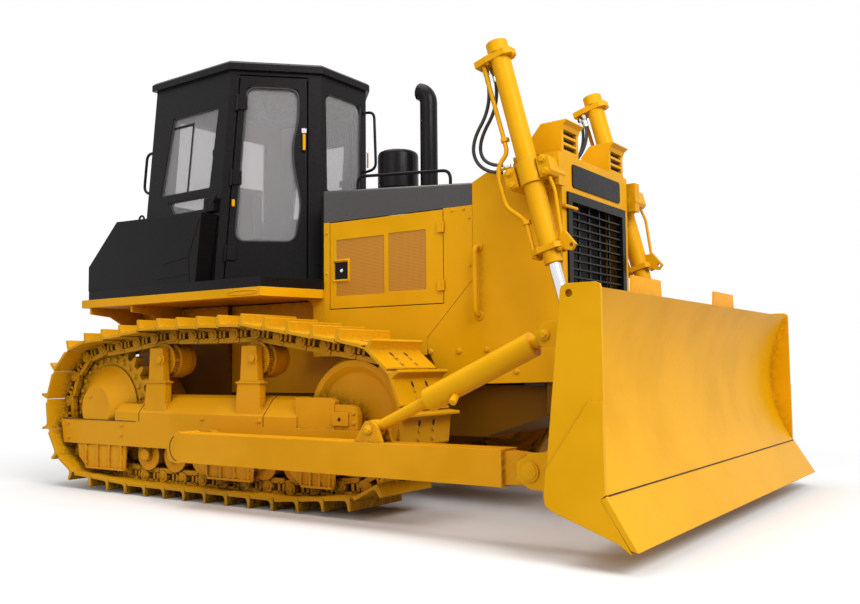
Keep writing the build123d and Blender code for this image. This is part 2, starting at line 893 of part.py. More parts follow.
with BuildPart() as engine_door_right:
    side_slab(
        [
            (door_rear_x + door_gap, door_bottom_z + door_gap),
            (door_front_x - door_gap, door_bottom_z + door_gap),
            (door_front_x - door_gap, hood_strip_z - door_gap),
            (door_rear_x + door_gap, hood_strip_z - door_gap),
        ],
        -hood_half_width + hood_wall,
        -hood_half_width,
    )
    panel_low = door_bottom_z + 92
    panel_high = hood_strip_z - 130
    latch_x = door_rear_x + latch_margin
    latch_z = (panel_low + panel_high) / 2 - 20
    screen_left = door_rear_x + latch_margin + 18
    screen_mid = (door_rear_x + door_front_x) / 2
    rear_screen = [
        (screen_left, panel_low),
        (screen_mid, panel_low),
        (screen_mid, panel_high),
        (screen_left, panel_high),
        (screen_left, latch_z + latch_half + latch_rim),
        (latch_x + 2 * latch_half + latch_rim, latch_z + latch_half + latch_rim),
        (latch_x + 2 * latch_half + latch_rim, latch_z - latch_half - latch_rim),
        (screen_left, latch_z - latch_half - latch_rim),
    ]
    front_screen = [
        (screen_mid + screen_gap, panel_low + 8),
        (door_front_x - 138, panel_low + 8),
        (door_front_x - 138, panel_high + 8),
        (screen_mid + screen_gap, panel_high + 8),
    ]
    door_face = -hood_half_width
    for screen in (rear_screen, front_screen):
        side_slab(screen, door_face + screen_depth, door_face - 5, Mode.SUBTRACT)
    latch_range = (latch_x, latch_x + 2 * latch_half)
    latch_z_range = (latch_z - latch_half, latch_z + latch_half)
    block(latch_range, (door_face - 5, door_face + latch_depth), latch_z_range, Mode.SUBTRACT)
    for z in (door_bottom_z + 120, hood_strip_z - 120):
        with Locations((door_front_x, hinge_y, z)):
            Cylinder(hinge_radius, hinge_length)
        leaf_x = (door_front_x - hinge_leaf, door_front_x)
        block(leaf_x, (hinge_y - 3, -hood_half_width), (z - hinge_length / 2, z + hinge_length / 2))
save(engine_door_right, "engine_door_right")

with BuildPart() as engine_door_left:
    mirror(engine_door_right.part, about=Plane.XZ)
save(engine_door_left, "engine_door_left")

# Exhaust stack and air cleaner on the hood
exhaust_x = 375.0
exhaust_y = 0.0
exhaust_radius = 63.0
exhaust_height = 895.0
exhaust_slant = 62.0
cleaner_x = 98.0
cleaner_radius = 150.0
cleaner_height = 420.0


under_hood = [
    (hood_rear_x, hood_rear_top_z),
    (hood_front_x, hood_front_top_z),
    (hood_front_x, hood_strip_z),
    (hood_rear_x, hood_strip_z),
]


def trim_to_hood():
    """Cut the foot of a piece that stands on the hood to the slope of its top."""
    side_slab(under_hood, -hood_half_width, hood_half_width, Mode.SUBTRACT)


with BuildPart() as exhaust_stack:
    stack_top = hood_front_top_z + exhaust_height
    stack_foot = (exhaust_x, exhaust_y, hood_front_top_z)
    rod_between(stack_foot, (exhaust_x, exhaust_y, stack_top), exhaust_radius)
    trim_to_hood()
    with Locations((exhaust_x, exhaust_y, stack_top)):
        Hole(exhaust_radius - 5, depth=exhaust_height / 2)
    slant = [
        (exhaust_x - exhaust_radius - 5, stack_top),
        (exhaust_x + exhaust_radius + 5, stack_top - exhaust_slant),
        (exhaust_x + exhaust_radius + 5, stack_top + 5),
        (exhaust_x - exhaust_radius - 5, stack_top + 5),
    ]
    side_slab(slant, exhaust_y - exhaust_radius - 5, exhaust_y + exhaust_radius + 5, Mode.SUBTRACT)
save(exhaust_stack, "exhaust_stack")

with BuildPart() as air_cleaner:
    cleaner_top = hood_front_top_z + cleaner_height
    rod_between((cleaner_x, 0, hood_front_top_z), (cleaner_x, 0, cleaner_top), cleaner_radius)
    trim_to_hood()
    chamfer(air_cleaner.edges().group_by(Axis.Z)[-1], 28, 45)
save(air_cleaner, "air_cleaner")

# Cab: leaning walls on a six-sided plan
cab_height = cab_top_z - cab_base_z


def cab_plan(z):
    """Corner points of the cab's plan at a height."""
    share = (cab_top_z - z) / cab_height
    lean = cab_lean * share
    corners = [
        (cab_front_x, cab_front_half),
        (cab_mid_x - lean, cab_mid_half + lean),
        (cab_rear_x - lean, cab_rear_half + lean),
    ]
    ring = [(x, -y) for x, y in corners] + [(x, y) for x, y in reversed(corners)]
    return ring


def cab_shell(inset, z_low, z_high, mode=Mode.ADD):
    """The leaning six-sided prism of the cab between two heights."""
    with BuildSketch(Plane.XY.offset(z_low)) as low:
        Polygon(*cab_plan(z_low), align=None)
        if inset:
            offset(amount=-inset, kind=Kind.INTERSECTION, mode=Mode.REPLACE)
    with BuildSketch(Plane.XY.offset(z_high)) as high:
        Polygon(*cab_plan(z_high), align=None)
        if inset:
            offset(amount=-inset, kind=Kind.INTERSECTION, mode=Mode.REPLACE)
    loft([low.sketch.face(), high.sketch.face()], ruled=True, mode=mode)


door_along = Vector(cab_front_x - cab_mid_x, cab_mid_half - cab_front_half, 0).normalized()
door_out = Vector(door_along.Y, -door_along.X, 0)
door_length = math.hypot(cab_front_x - cab_mid_x, cab_mid_half - cab_front_half)
door_plane = Plane(
    origin=(cab_mid_x, -cab_mid_half, cab_base_z),
    x_dir=door_along,
    z_dir=door_out,
)
door_lean = cab_lean * math.sqrt(2)
pillar_a = 95.0
pillar_b = 62.0


def door_outline(gap):
    """Corners of the cab door in its own plane, drawn in by a gap."""
    low = gap
    high = cab_height - gap
    return [
        (-door_lean + pillar_b + gap, low),
        (door_length - pillar_a - gap, low),
        (door_length - pillar_a - gap, high),
        (pillar_b + gap, high),
    ]


door_opening = [
    (-door_lean + pillar_b, 0),
    (door_length + pillar_a, 0),
    (door_length + pillar_a, cab_height),
    (pillar_b, cab_height),
]
window_low = 0.2 * cab_height
window_high = 0.94 * cab_height
window_rise = window_high - window_low
window_edge = door_length - pillar_a
window_points = [
    (-door_lean * 0.8 + pillar_b + 60, window_low),
    (window_edge - 95, window_low),
    (window_edge - 50, window_low + 0.24 * window_rise),
    (window_edge - 110, window_low + 0.52 * window_rise),
    (window_edge - 110, window_low + 0.66 * window_rise),
    (window_edge - 70, window_low + 0.79 * window_rise),
    (window_edge - 70, window_high),
    (pillar_b + 55, window_high),
]
window_corner = 0.02 * window_rise
glass_inset = (cab_wall - glass_thickness) / 2


def door_slab(points, depth_from, depth_to, shrink=0, mode=Mode.ADD, corner=0):
    """A plate in the plane of the cab door, between two depths below its outer face."""
    with BuildSketch(door_plane.offset(-depth_from)) as outline:
        Polygon(*points, align=None)
        if corner:
            fillet(outline.vertices(), corner)
        if shrink:
            offset(amount=-shrink, mode=Mode.REPLACE)
    extrude(outline.sketch, amount=depth_from - depth_to, mode=mode)


cab_hinge_radius = 12.0
cab_hinge_half = 60.0
cab_hinge_leaf = 75.0
cab_hinge_heights = (0.14 * cab_height, 0.5 * cab_height, 0.86 * cab_height)
cab_hinge_out = cab_hinge_radius + running_gap


def hinge_point(height):
    """A place on the cab door's leaning hinge line, just outside its face."""
    along = pillar_b - door_lean * (cab_height - height) / cab_height
    return door_plane.from_local_coords((along, height, cab_hinge_out))


with BuildPart() as cab_door_right:
    door_slab(door_outline(cab_door_gap), 0, cab_wall)
    door_slab(window_points, -5, cab_wall + 5, mode=Mode.SUBTRACT, corner=window_corner)
    for height in cab_hinge_heights:
        low = hinge_point(height - cab_hinge_half)
        high = hinge_point(height + cab_hinge_half)
        rod_between(low, high, cab_hinge_radius)
        along = door_plane.to_local_coords(hinge_point(height)).X
        leaf = [
            (along, height - cab_hinge_half + 10),
            (along + cab_hinge_leaf, height - cab_hinge_half + 10),
            (along + cab_hinge_leaf, height + cab_hinge_half - 10),
            (along, height + cab_hinge_half - 10),
        ]
        door_slab(leaf, -cab_hinge_out - 4, -cab_hinge_out + 4)
        foot_x = along + cab_door_gap + 8
        foot = [(foot_x, leaf[0][1]), leaf[1], leaf[2], (foot_x, leaf[2][1])]
        door_slab(foot, -cab_hinge_out, 1)
save(cab_door_right, "cab_door_right")

with BuildPart() as door_glass_right:
    glass_back = glass_inset + glass_thickness
    door_slab(window_points, glass_inset, glass_back, shrink=seat_gap, corner=window_corner)
save(door_glass_right, "door_glass_right")

with BuildPart() as cab_door_left:
    mirror(cab_door_right.part, about=Plane.XZ)
save(cab_door_left, "cab_door_left")

with BuildPart() as door_glass_left:
    mirror(door_glass_right.part, about=Plane.XZ)
save(door_glass_left, "door_glass_left")

front_sill_z = cab_base_z + 0.44 * cab_height
side_sill_z = cab_base_z + 0.461 * cab_height
low_sill_z = cab_base_z + 0.36 * cab_height
side_head_z = cab_base_z + 0.85 * cab_height
front_head_z = cab_base_z + 0.94 * cab_height
window_rail = 58.0
front_window = [
    (-cab_front_half + 70, front_sill_z),
    (cab_front_half - 70, front_sill_z),
    (cab_front_half - 55, front_head_z),
    (-cab_front_half + 55, front_head_z),
]
side_window = [
    (cab_rear_x + 117, side_sill_z),
    (cab_mid_x - 183, side_sill_z),
    (cab_mid_x - 118, side_head_z),
    (cab_rear_x + 227, side_head_z),
]
low_window = [
    (cab_rear_x + 278, low_sill_z),
    (cab_mid_x - 240, low_sill_z),
    (cab_mid_x - 238, side_sill_z - window_rail),
    (cab_rear_x + 210, side_sill_z - window_rail),
]
rear_window = [
    (-cab_rear_half + 180, front_sill_z),
    (cab_rear_half - 180, front_sill_z),
    (cab_rear_half - 210, side_head_z + 60),
    (-cab_rear_half + 210, side_head_z + 60),
]
front_split_x = cab_front_x - pillar_a * door_along.X
rear_split_x = cab_rear_x + cab_wall + 10


with BuildPart() as cab_front:
    cab_shell(0, cab_base_z, cab_top_z)
    cab_shell(cab_wall, cab_base_z, cab_top_z, Mode.SUBTRACT)
    split(bisect_by=Plane.YZ.offset(front_split_x), keep=Keep.TOP)
    cross_slab(front_window, cab_front_x - 2 * cab_wall, cab_front_x + 10, Mode.SUBTRACT)
save(cab_front, "cab_front")

with BuildPart() as cab_sides:
    cab_shell(0, cab_base_z, cab_top_z)
    cab_shell(cab_wall, cab_base_z, cab_top_z, Mode.SUBTRACT)
    split(bisect_by=Plane.YZ.offset(rear_split_x), keep=Keep.TOP)
    split(bisect_by=Plane.YZ.offset(front_split_x - 1), keep=Keep.BOTTOM)
    door_slab(door_opening, -20, cab_wall + 120, mode=Mode.SUBTRACT)
    split(bisect_by=Plane.XZ, keep=Keep.TOP)
    side_slab(side_window, -cab_rear_half + 120, -1000.0, Mode.SUBTRACT)
    side_slab(low_window, -cab_rear_half + 120, -1000.0, Mode.SUBTRACT)
    mirror(about=Plane.XZ)
save(cab_sides, "cab_sides")

with BuildPart() as cab_rear:
    cab_shell(0, cab_base_z, cab_top_z)
    cab_shell(cab_wall, cab_base_z, cab_top_z, Mode.SUBTRACT)
    split(bisect_by=Plane.YZ.offset(rear_split_x), keep=Keep.BOTTOM)
    cross_slab(rear_window, cab_rear_x - 200, cab_rear_x + 100, Mode.SUBTRACT)
save(cab_rear, "cab_rear")


def glass_pane(plane, points, reach):
    """A pane set in the middle of the cab's wall, cut to a window's outline."""
    with BuildPart() as pane:
        cab_shell(glass_inset, cab_base_z, cab_top_z)
        cab_shell(glass_inset + glass_thickness, cab_base_z, cab_top_z, Mode.SUBTRACT)
        with BuildSketch(plane) as outline:
            Polygon(*points, align=None)
            offset(amount=-seat_gap, mode=Mode.REPLACE)
        extrude(outline.sketch, amount=reach, mode=Mode.INTERSECT)
    return pane.part


side_reach = 500.0
with BuildPart() as cab_glass:
    for window in (side_window, low_window):
        add(glass_pane(side_plane(-cab_rear_half + 120), window, side_reach))
        add(glass_pane(side_plane(cab_rear_half - 120), window, -side_reach))
    add(glass_pane(cross_plane(cab_front_x + 10), front_window, -2 * cab_wall))
    add(glass_pane(cross_plane(cab_rear_x + 100), rear_window, -side_reach))
save(cab_glass, "cab_glass")

# Cowl between the hood and the cab
with BuildPart() as cowl:
    side_slab(
        [
            (cab_front_x + 2, cab_base_z),
            (hood_rear_x, cab_base_z),
            (hood_rear_x, hood_rear_top_z - 20),
            (cab_front_x + 2, hood_rear_top_z + 10),
        ],
        -cab_front_half,
        cab_front_half,
    )
save(cowl, "cowl")

# Roof: a step on the walls, and a wider lip with a sloped edge above it
with BuildPart() as cab_roof:
    with BuildSketch(Plane.XY.offset(cab_top_z)) as step_plan:
        Polygon(*cab_plan(cab_top_z), align=None)
    extrude(step_plan.sketch, amount=roof_step)
    with BuildSketch(Plane.XY.offset(cab_top_z + roof_step)) as lip_plan:
        Polygon(*cab_plan(cab_top_z), align=None)
        offset(amount=roof_overhang, kind=Kind.INTERSECTION, mode=Mode.REPLACE)
    extrude(lip_plan.sketch, amount=roof_lip)
    chamfer(cab_roof.faces().sort_by(Axis.Z)[-1].edges(), 18)
save(cab_roof, "cab_roof")

# Deck under the cab, and the fenders below it
with BuildPart() as cab_floor:
    corners = [deck_front, deck_corner, (deck_rear_x, deck_corner[1] - 40)]
    ring = [(x, -y) for x, y in corners] + [(x, y) for x, y in reversed(corners)]
    plan_slab(ring, cab_base_z - deck_thickness, cab_base_z)
save(cab_floor, "cab_floor")

skirt_length = 100.0
skirt_curve = 70.0
gusset_plate = 20.0
gusset_places = (case_rear_x + 20, case_rear_x + 520)

with BuildPart() as fenders:
    top = cab_base_z - deck_thickness
    fender_inner = case_half_width - 50
    corners = [(deck_front[0], -fender_inner), (deck_front[0], -deck_front[1])]
    corners += [(deck_corner[0] + 8, -deck_corner[1] - 12), (fender_rear_x, -deck_corner[1] + 30)]
    corners += [(fender_rear_x, -fender_inner)]
    under = top - fender_thickness
    plan_slab(corners, under, top)
    skirt_x = hood_rear_x - skirt_length
    side_slab(
        [
            (hood_rear_x - 2, panel_bottom_z),
            (hood_rear_x - 2, under + 5),
            (skirt_x - skirt_curve, under + 5),
            (skirt_x - skirt_curve, under),
            (skirt_x - 0.3 * skirt_curve, under - 0.3 * skirt_curve),
            (skirt_x, under - skirt_curve),
            (skirt_x, panel_bottom_z),
        ],
        -hood_half_width + hood_wall,
        -hood_half_width,
    )
    for gusset_x in gusset_places:
        cross_slab(
            [
                (-deck_corner[1] + 45, under + 5),
                (-deck_corner[1] + 45, under - 50),
                (-deck_corner[1] + 230, under - 68),
                (-deck_corner[1] + 300, under - 105),
                (-deck_corner[1] + 400, under - 170),
                (-case_half_width, under - 260),
                (-case_half_width, under + 5),
            ],
            gusset_x,
            gusset_x + gusset_plate,
        )
    mirror(about=Plane.XZ)
save(fenders, "fenders")

# Fuel tank behind the cab, with a side wing on each side
with BuildPart() as fuel_tank:
    side_slab(
        [
            (deck_rear_x, cab_base_z),
            (tank_front_x, cab_base_z),
            (tank_front_x + 60, tank_top_z),
            (deck_rear_x + tank_slope, tank_top_z + 20),
            (deck_rear_x, cab_base_z + tank_rear_height),
        ],
        -tank_half_width,
        tank_half_width,
    )
    cab_shell(-6, cab_base_z, cab_top_z, Mode.SUBTRACT)
save(fuel_tank, "fuel_tank")

# Operator's seat and controls
seat_x = (cab_mid_x + cab_rear_x) / 2 - 10
seat_half_width = 250.0
seat_height = 260.0
seat_pan = 40.0
cushion_height = 100.0
backrest_height = 0.4 * cab_height
backrest_depth = 113.0
console_height = 0.395 * cab_height
lever_radius = 12.0
lever_rise = 160.0

with BuildPart() as seat:
    pan_low = cab_base_z + seat_height
    pan_high = pan_low + seat_pan
    stand_half = seat_half_width - 60
    block((seat_x - 200, seat_x + 200), (-stand_half, stand_half), (cab_base_z, pan_low))
    block((seat_x - 270, seat_x + 250), (-seat_half_width, seat_half_width), (pan_low, pan_high))
save(seat, "seat")

with BuildPart() as seat_cushions:
    cushion_low = pan_high + seat_gap
    cushion_y = (-seat_half_width + 5, seat_half_width - 5)
    backrest_x = seat_x - 268
    cushion_x = (backrest_x + backrest_depth + 5, seat_x + 250)
    block(cushion_x, cushion_y, (cushion_low, pan_high + cushion_height))
    backrest_z = (cushion_low, pan_high + backrest_height)
    block((backrest_x, backrest_x + backrest_depth), cushion_y, backrest_z)
save(seat_cushions, "seat_cushions")

with BuildPart() as controls:
    console_x = (cab_front_x - 230, cab_front_x - cab_wall - 2)
    console_half = cab_front_half - 90
    console_top = cab_base_z + console_height
    block(console_x, (-console_half, console_half), (cab_base_z, console_top))
    for y in (-console_half / 3, console_half / 3):
        foot = (console_x[0] + 50, y, console_top - 10)
        rod_between(foot, (foot[0] - 150, y, console_top + lever_rise), lever_radius)
save(controls, "controls")

# Handrails along the hood
rail_y = -420.0
rail_radius = 11.0
rail_rise = 102.0
rail_x = (53.0, 829.0)
hood_fall = (hood_front_top_z - hood_rear_top_z) / (hood_front_x - hood_rear_x)


def rail_z(x):
    """Height of the handrail above the sloping hood."""
    return hood_rear_top_z + hood_fall * (x - hood_rear_x) + rail_rise


with BuildPart() as handrails:
    for x in rail_x:
        rod_between((x, rail_y, hood_front_top_z), (x, rail_y, rail_z(x)), rail_radius)
    rail_start = (rail_x[0] - rail_radius, rail_y, rail_z(rail_x[0]))
    rail_end = (rail_x[1] + rail_radius, rail_y, rail_z(rail_x[1]))
    rod_between(rail_start, rail_end, rail_radius)
    trim_to_hood()
    mirror(about=Plane.XZ)
save(handrails, "handrails")

# Blade: curved mouldboard, end plates and brackets at the back
blade_mid_x = (blade_edge_x + blade_top_x) / 2 - blade_hollow
blade_mid_z = (blade_edge_z + blade_top_z) / 2
edge_dx = blade_tip_x - blade_edge_x
edge_dz = blade_tip_z - blade_edge_z
edge_length = math.hypot(edge_dx, edge_dz)
edge_back = (edge_dz / edge_length * edge_plate, -edge_dx / edge_length * edge_plate)
end_back_x = blade_top_x - 190
end_low_x = blade_top_x - 286
end_outline = [
    (end_back_x, blade_top_z - 4),
    (end_back_x + 8, blade_top_z + end_rise - 8),
    (end_back_x + 30, blade_top_z + end_rise),
    (blade_top_x - 22, blade_top_z + end_rise),
    (blade_top_x + 2, blade_top_z + end_rise - 10),
    (blade_top_x + 6, blade_top_z - 8),
    (blade_edge_x - 5, blade_edge_z + 4),
    (blade_edge_x + edge_back[0] - seat_gap, blade_edge_z + edge_back[1] - seat_gap),
    (blade_edge_x + 50, blade_tip_z + 32),
    (end_low_x + 46, blade_edge_z - 85),
    (end_low_x + 8, blade_edge_z - 62),
    (end_low_x, blade_edge_z - 20),
]
wear_corner = (blade_top_x - 60, blade_edge_z + wear_height)
above_wear = [
    (wear_corner[0] - wear_slope[0], wear_corner[1] - wear_slope[1]),
    wear_corner,
    (blade_top_x + 30, wear_corner[1]),
    (blade_top_x + 30, blade_top_z + 2 * end_rise),
    (wear_corner[0] - wear_slope[0], blade_top_z + 2 * end_rise),
]


def blade_curve(back):
    """Points of the mouldboard's front face, or of its back face further behind."""
    return [
        (blade_edge_x - back, blade_edge_z),
        (blade_mid_x - back, blade_mid_z),
        (blade_top_x - back, blade_top_z),
    ]


with BuildPart() as blade:
    front = blade_curve(0)
    back = blade_curve(blade_plate)
    with BuildSketch(side_plane(0)) as mould:
        with BuildLine() as mould_line:
            ThreePointArc(*front)
            Line(front[2], back[2])
            ThreePointArc(*back)
            Line(back[0], front[0])
        make_face()
    extrude(amount=blade_half_width - end_plate + 1, both=True)
    inner_y = blade_half_width - end_plate
    beam_rear_x = blade_edge_x - 259
    lower_beam = [
        (blade_edge_x + edge_back[0] - seat_gap, blade_edge_z + 4),
        (blade_edge_x - 90, blade_edge_z + 130),
        (beam_rear_x, blade_edge_z + 195),
        (beam_rear_x - 20, blade_edge_z - 55),
        (
            blade_edge_x + edge_back[0] + 0.45 * edge_dx - 1,
            blade_edge_z + edge_back[1] + 0.45 * edge_dz - 1,
        ),
        (blade_edge_x + edge_back[0] - seat_gap, blade_edge_z + edge_back[1] - seat_gap),
    ]
    side_slab(lower_beam, -inner_y - 1, inner_y + 1)
    beam_back_x = blade_top_x - 181
    top_beam = [
        (blade_top_x - 5, blade_top_z),
        (blade_top_x - 70, blade_top_z - 118),
        (beam_back_x, blade_top_z - 118),
        (beam_back_x, blade_top_z),
    ]
    side_slab(top_beam, -inner_y - 1, inner_y + 1)
    for side in (-1, 1):
        side_slab(end_outline, side * inner_y, side * blade_half_width)
        thin_y = side * (blade_half_width - wear_plate)
        side_slab(above_wear, thin_y, side * (blade_half_width + 5), Mode.SUBTRACT)
        hole = (end_back_x + 42, blade_top_z - 20)
        side_disc(hole, 18, side * (inner_y - 5), side * (blade_half_width + 5), Mode.SUBTRACT)
        guard_base = blade_top_z - 30
        guard_top = blade_top_z + rod_guard_rise
        rod_guard = [
            (side * (lift_y - rod_guard_half), guard_base),
            (side * (lift_y + rod_guard_half), guard_base),
            (side * (lift_y + rod_guard_half - 20), guard_top),
            (side * (lift_y - rod_guard_half + 20), guard_top),
        ]
        cross_slab(rod_guard, beam_back_x + 3, beam_back_x + 3 + rod_guard_plate)
        for offset_y in (-1, 1):
            cheek_in = side * (arm_y + offset_y * 55)
            cheek_out = side * (arm_y + offset_y * 100)
            cheek = [
                (beam_rear_x + 10, arm_pin_z - 91),
                (beam_rear_x + 10, arm_pin_z + 109),
                (arm_pin_x, arm_pin_z + 85),
                (arm_pin_x - 72, arm_pin_z + 40),
                (arm_pin_x - 72, arm_pin_z - 40),
                (arm_pin_x, arm_pin_z - 85),
            ]
            side_slab(cheek, cheek_in, cheek_out)
        side_disc((arm_pin_x, arm_pin_z), arm_pin_radius, side * (arm_y - 110), side * (arm_y + 110))
        for offset_y in (-1, 1):
            lug_in = side * (lift_y + offset_y * (eye_width / 2 + swing_gap))
            lug_out = side * (lift_y + offset_y * (eye_width / 2 + swing_gap + 32))
            lug = [
                (beam_rear_x + 30, lift_eye[1] - 130),
                (beam_rear_x + 30, lift_eye[1] + 160),
                (lift_eye[0] - 20, lift_eye[1] + 65),
                (lift_eye[0] - 62, lift_eye[1]),
                (lift_eye[0] - 20, lift_eye[1] - 65),
            ]
            side_slab(lug, lug_in, lug_out)
            head = side * (lift_y + offset_y * (eye_width / 2 + swing_gap + 50))
            side_disc(lift_eye, 34, lug_in, head)
        for offset_y in (-1, 1):
            top_in = side * (arm_y + offset_y * brace_lug_inner)
            top_out = side * (arm_y + offset_y * brace_lug_outer)
            ear = [
                (beam_back_x + 55, brace_head[1] - 75),
                (beam_back_x + 55, brace_head[1] + 85),
                (brace_head[0], brace_head[1] + 65),
                (brace_head[0] - 59, brace_head[1] + 5),
                (brace_head[0] - 19, brace_head[1] - 55),
            ]
            side_slab(ear, top_in, top_out)
        side_disc(brace_head, brace_head_pin, side * (arm_y - 70), side * (arm_y + 70))
save(blade, "blade")

with BuildPart() as cutting_edge:
    side_slab(
        [
            (blade_edge_x, blade_edge_z),
            (blade_tip_x, blade_tip_z),
            (blade_tip_x + edge_back[0] * 0.6 - 20, blade_tip_z + 8),
            (blade_edge_x + edge_back[0], blade_edge_z + edge_back[1]),
        ],
        -blade_half_width,
        blade_half_width,
    )
save(cutting_edge, "cutting_edge")

# Push arms from the trunnions to the blade
with BuildPart() as push_arms:
    arm_in = -arm_y + arm_width / 2
    arm_out = -arm_y - arm_width / 2
    side_disc(trunnion, arm_end_radius, arm_in, arm_out)
    side_slab(
        [
            (trunnion_x, arm_bottom_z),
            (arm_front_x, arm_bottom_z),
            (arm_front_x, arm_top_z),
            (trunnion_x, arm_top_z),
        ],
        arm_in,
        arm_out,
    )
    side_slab(
        [
            (arm_front_x, arm_bottom_z + 10),
            (arm_pin_x, arm_pin_z - 70),
            (arm_pin_x + 60, arm_pin_z - 35),
            (arm_pin_x + 60, arm_pin_z + 35),
            (arm_pin_x, arm_pin_z + 70),
            (arm_front_x, arm_top_z - 10),
        ],
        -arm_y + 52,
        -arm_y - 52,
    )
    side_disc(trunnion, trunnion_radius + pin_gap, arm_in + 5, trunnion_end_y - 5, Mode.SUBTRACT)
    side_disc((arm_pin_x, arm_pin_z), arm_pin_radius + pin_gap, -arm_y + 60, -arm_y - 60, Mode.SUBTRACT)
    for offset_y in (-1, 1):
        side_slab(
            [
                (brace_foot[0] - 100, arm_top_z),
                (brace_foot[0] + 90, arm_top_z),
                (brace_foot[0] + 50, brace_foot[1] + 25),
                (brace_foot[0] + 15, brace_foot[1] + 52),
                (brace_foot[0] - 25, brace_foot[1] + 45),
            ],
            -arm_y + offset_y * brace_lug_inner,
            -arm_y + offset_y * brace_lug_outer,
        )
    side_disc(brace_foot, brace_foot_pin, -arm_y + 68, -arm_y - 68)
    mirror(about=Plane.XZ)
save(push_arms, "push_arms")

# Braces from the arms up to the blade
with BuildPart() as blade_braces:
    brace_ends = ((brace_foot, brace_foot_pin), (brace_head, brace_head_pin))
    run = Vector(brace_head[0] - brace_foot[0], 0, brace_head[1] - brace_foot[1])
    unit = run.normalized()
    for centre, _ in brace_ends:
        side_disc(centre, brace_eye, -arm_y + 30, -arm_y - 30)
    foot = Vector(brace_foot[0], -arm_y, brace_foot[1])
    collar = foot + unit * 400
    head = foot + unit * (run.length - 40)
    rod_between((foot + unit * 40), collar, 32)
    rod_between(collar, head - unit * 60, 64)
    rod_between(head - unit * 60, head, 32)
    for centre, hole in brace_ends:
        side_disc(centre, hole + seat_gap, -arm_y + 40, -arm_y - 40, Mode.SUBTRACT)
    mirror(about=Plane.XZ)
save(blade_braces, "blade_braces")

# Lift cylinders: barrels on pivots beside the radiator guard, and their rods
lift_run = Vector(lift_eye[0] - lift_top[0], 0, lift_eye[1] - lift_top[1]).normalized()
pivot_point = Vector(lift_pivot[0], -lift_y, lift_pivot[1])
top_point = Vector(lift_top[0], -lift_y, lift_top[1])
eye_point = Vector(lift_eye[0], -lift_y, lift_eye[1])
barrel_end = pivot_point + lift_run * barrel_below_pivot
gland_end = barrel_end + lift_run * gland_length

lift_side = Vector(-lift_run.Z, 0, lift_run.X)
barrel_along = (barrel_end - top_point).length


def lift_spot(forward, along):
    """A place beside the lift cylinder's pivot: forward of its line, and down along it. Gives (X, Z)."""
    place = pivot_point + lift_side * forward + lift_run * along
    return (place.X, place.Z)


def lift_plate(points, along, thickness):
    """A plate square to the lift cylinder, from a distance below its top. Points are (forward, outward)."""
    plane = Plane(origin=top_point + lift_run * along, x_dir=lift_side, z_dir=lift_run)
    with BuildSketch(plane) as outline:
        Polygon(*points, align=None)
    extrude(outline.sketch, amount=thickness)


def hose_fitting(forward, y):
    """Where a hose's upper fitting starts, under the top flange."""
    place = top_point + lift_side * forward + lift_run * (flange_along + flange_plate)
    return Vector(place.X, y, place.Z)


hose_y = -lift_y + 102
upper_ports = (hose_fitting(-124, -lift_y + 16), hose_fitting(-84, -lift_y + 40))
yoke_back_x = lift_pivot[0] - yoke_reach
lower_ports = (
    Vector(yoke_back_x, hose_y, lift_pivot[1] + 50),
    Vector(yoke_back_x, hose_y, lift_pivot[1] + 95),
)

with BuildPart() as lift_barrel_right:
    rod_between(top_point, barrel_end, barrel_radius)
    rod_between(top_point, (top_point + lift_run * flange_along), barrel_radius + 6)
    rod_between(barrel_end, gland_end, gland_radius)
    collar_start = pivot_point - lift_run * 70
    rod_between(collar_start, (pivot_point + lift_run * 70), barrel_radius + 14)
    top_flange = [
        (-flange_rear, -flange_half + 12),
        (-barrel_radius - 10, -flange_half),
        (barrel_radius, -flange_half),
        (flange_front, -flange_half + 26),
        (flange_front, flange_half - 26),
        (barrel_radius, flange_half),
        (-barrel_radius - 10, flange_half),
        (-flange_rear, flange_half - 12),
    ]
    lift_plate(top_flange, flange_along, flange_plate)
    low_flange = [
        (-flange_front - 14, -flange_half + 26),
        (-barrel_radius, -flange_half),
        (barrel_radius, -flange_half),
        (flange_front - 10, -flange_half + 26),
        (flange_front - 10, flange_half - 26),
        (barrel_radius, flange_half),
        (-barrel_radius, flange_half),
        (-flange_front - 14, flange_half - 26),
    ]
    lift_plate(low_flange, barrel_along - 34, 34)
    ear_spots = ((52, -95), (118, -85), (162, 10), (128, 38), (52, 4))
    ear = [lift_spot(forward, barrel_below_pivot + along) for forward, along in ear_spots]
    side_slab(ear, -lift_y + 14, -lift_y - 14)
    side_disc(lift_spot(136, barrel_below_pivot + 8), 12, -lift_y + 20, -lift_y - 20, Mode.SUBTRACT)
    block(
        (yoke_back_x, lift_pivot[0] + yoke_reach),
        (-lift_y + barrel_radius + 5, -boss_y - 10),
        (lift_pivot[1] - 70, lift_pivot[1] + 125),
    )
    for end in (-1, 1):
        cap_spots = (
            (end * (barrel_radius + 12), -62),
            (end * (yoke_reach - 18), -62),
            (end * yoke_reach, -44),
            (end * yoke_reach, 44),
            (end * (yoke_reach - 18), 62),
            (end * (barrel_radius + 12), 62),
        )
        side_slab([lift_spot(*spot) for spot in cap_spots], -boss_y - 10, -lift_y - 45)
    side_disc(lift_pivot, 45, -boss_y - 20, -inner)
    for port in upper_ports:
        rod_between(port - lift_run * 5, port + lift_run * fitting_length, fitting_radius)
    for port in lower_ports:
        rod_between(port + Vector(5, 0, 0), port - Vector(fitting_length - 10, 0, 0), fitting_radius)
    bore_start = top_point + lift_run * 40
    rod_between(bore_start, barrel_end, barrel_bore, Mode.SUBTRACT)
    rod_between(barrel_end, (gland_end + lift_run * 5), rod_radius + seat_gap, Mode.SUBTRACT)
save(lift_barrel_right, "lift_barrel_right")

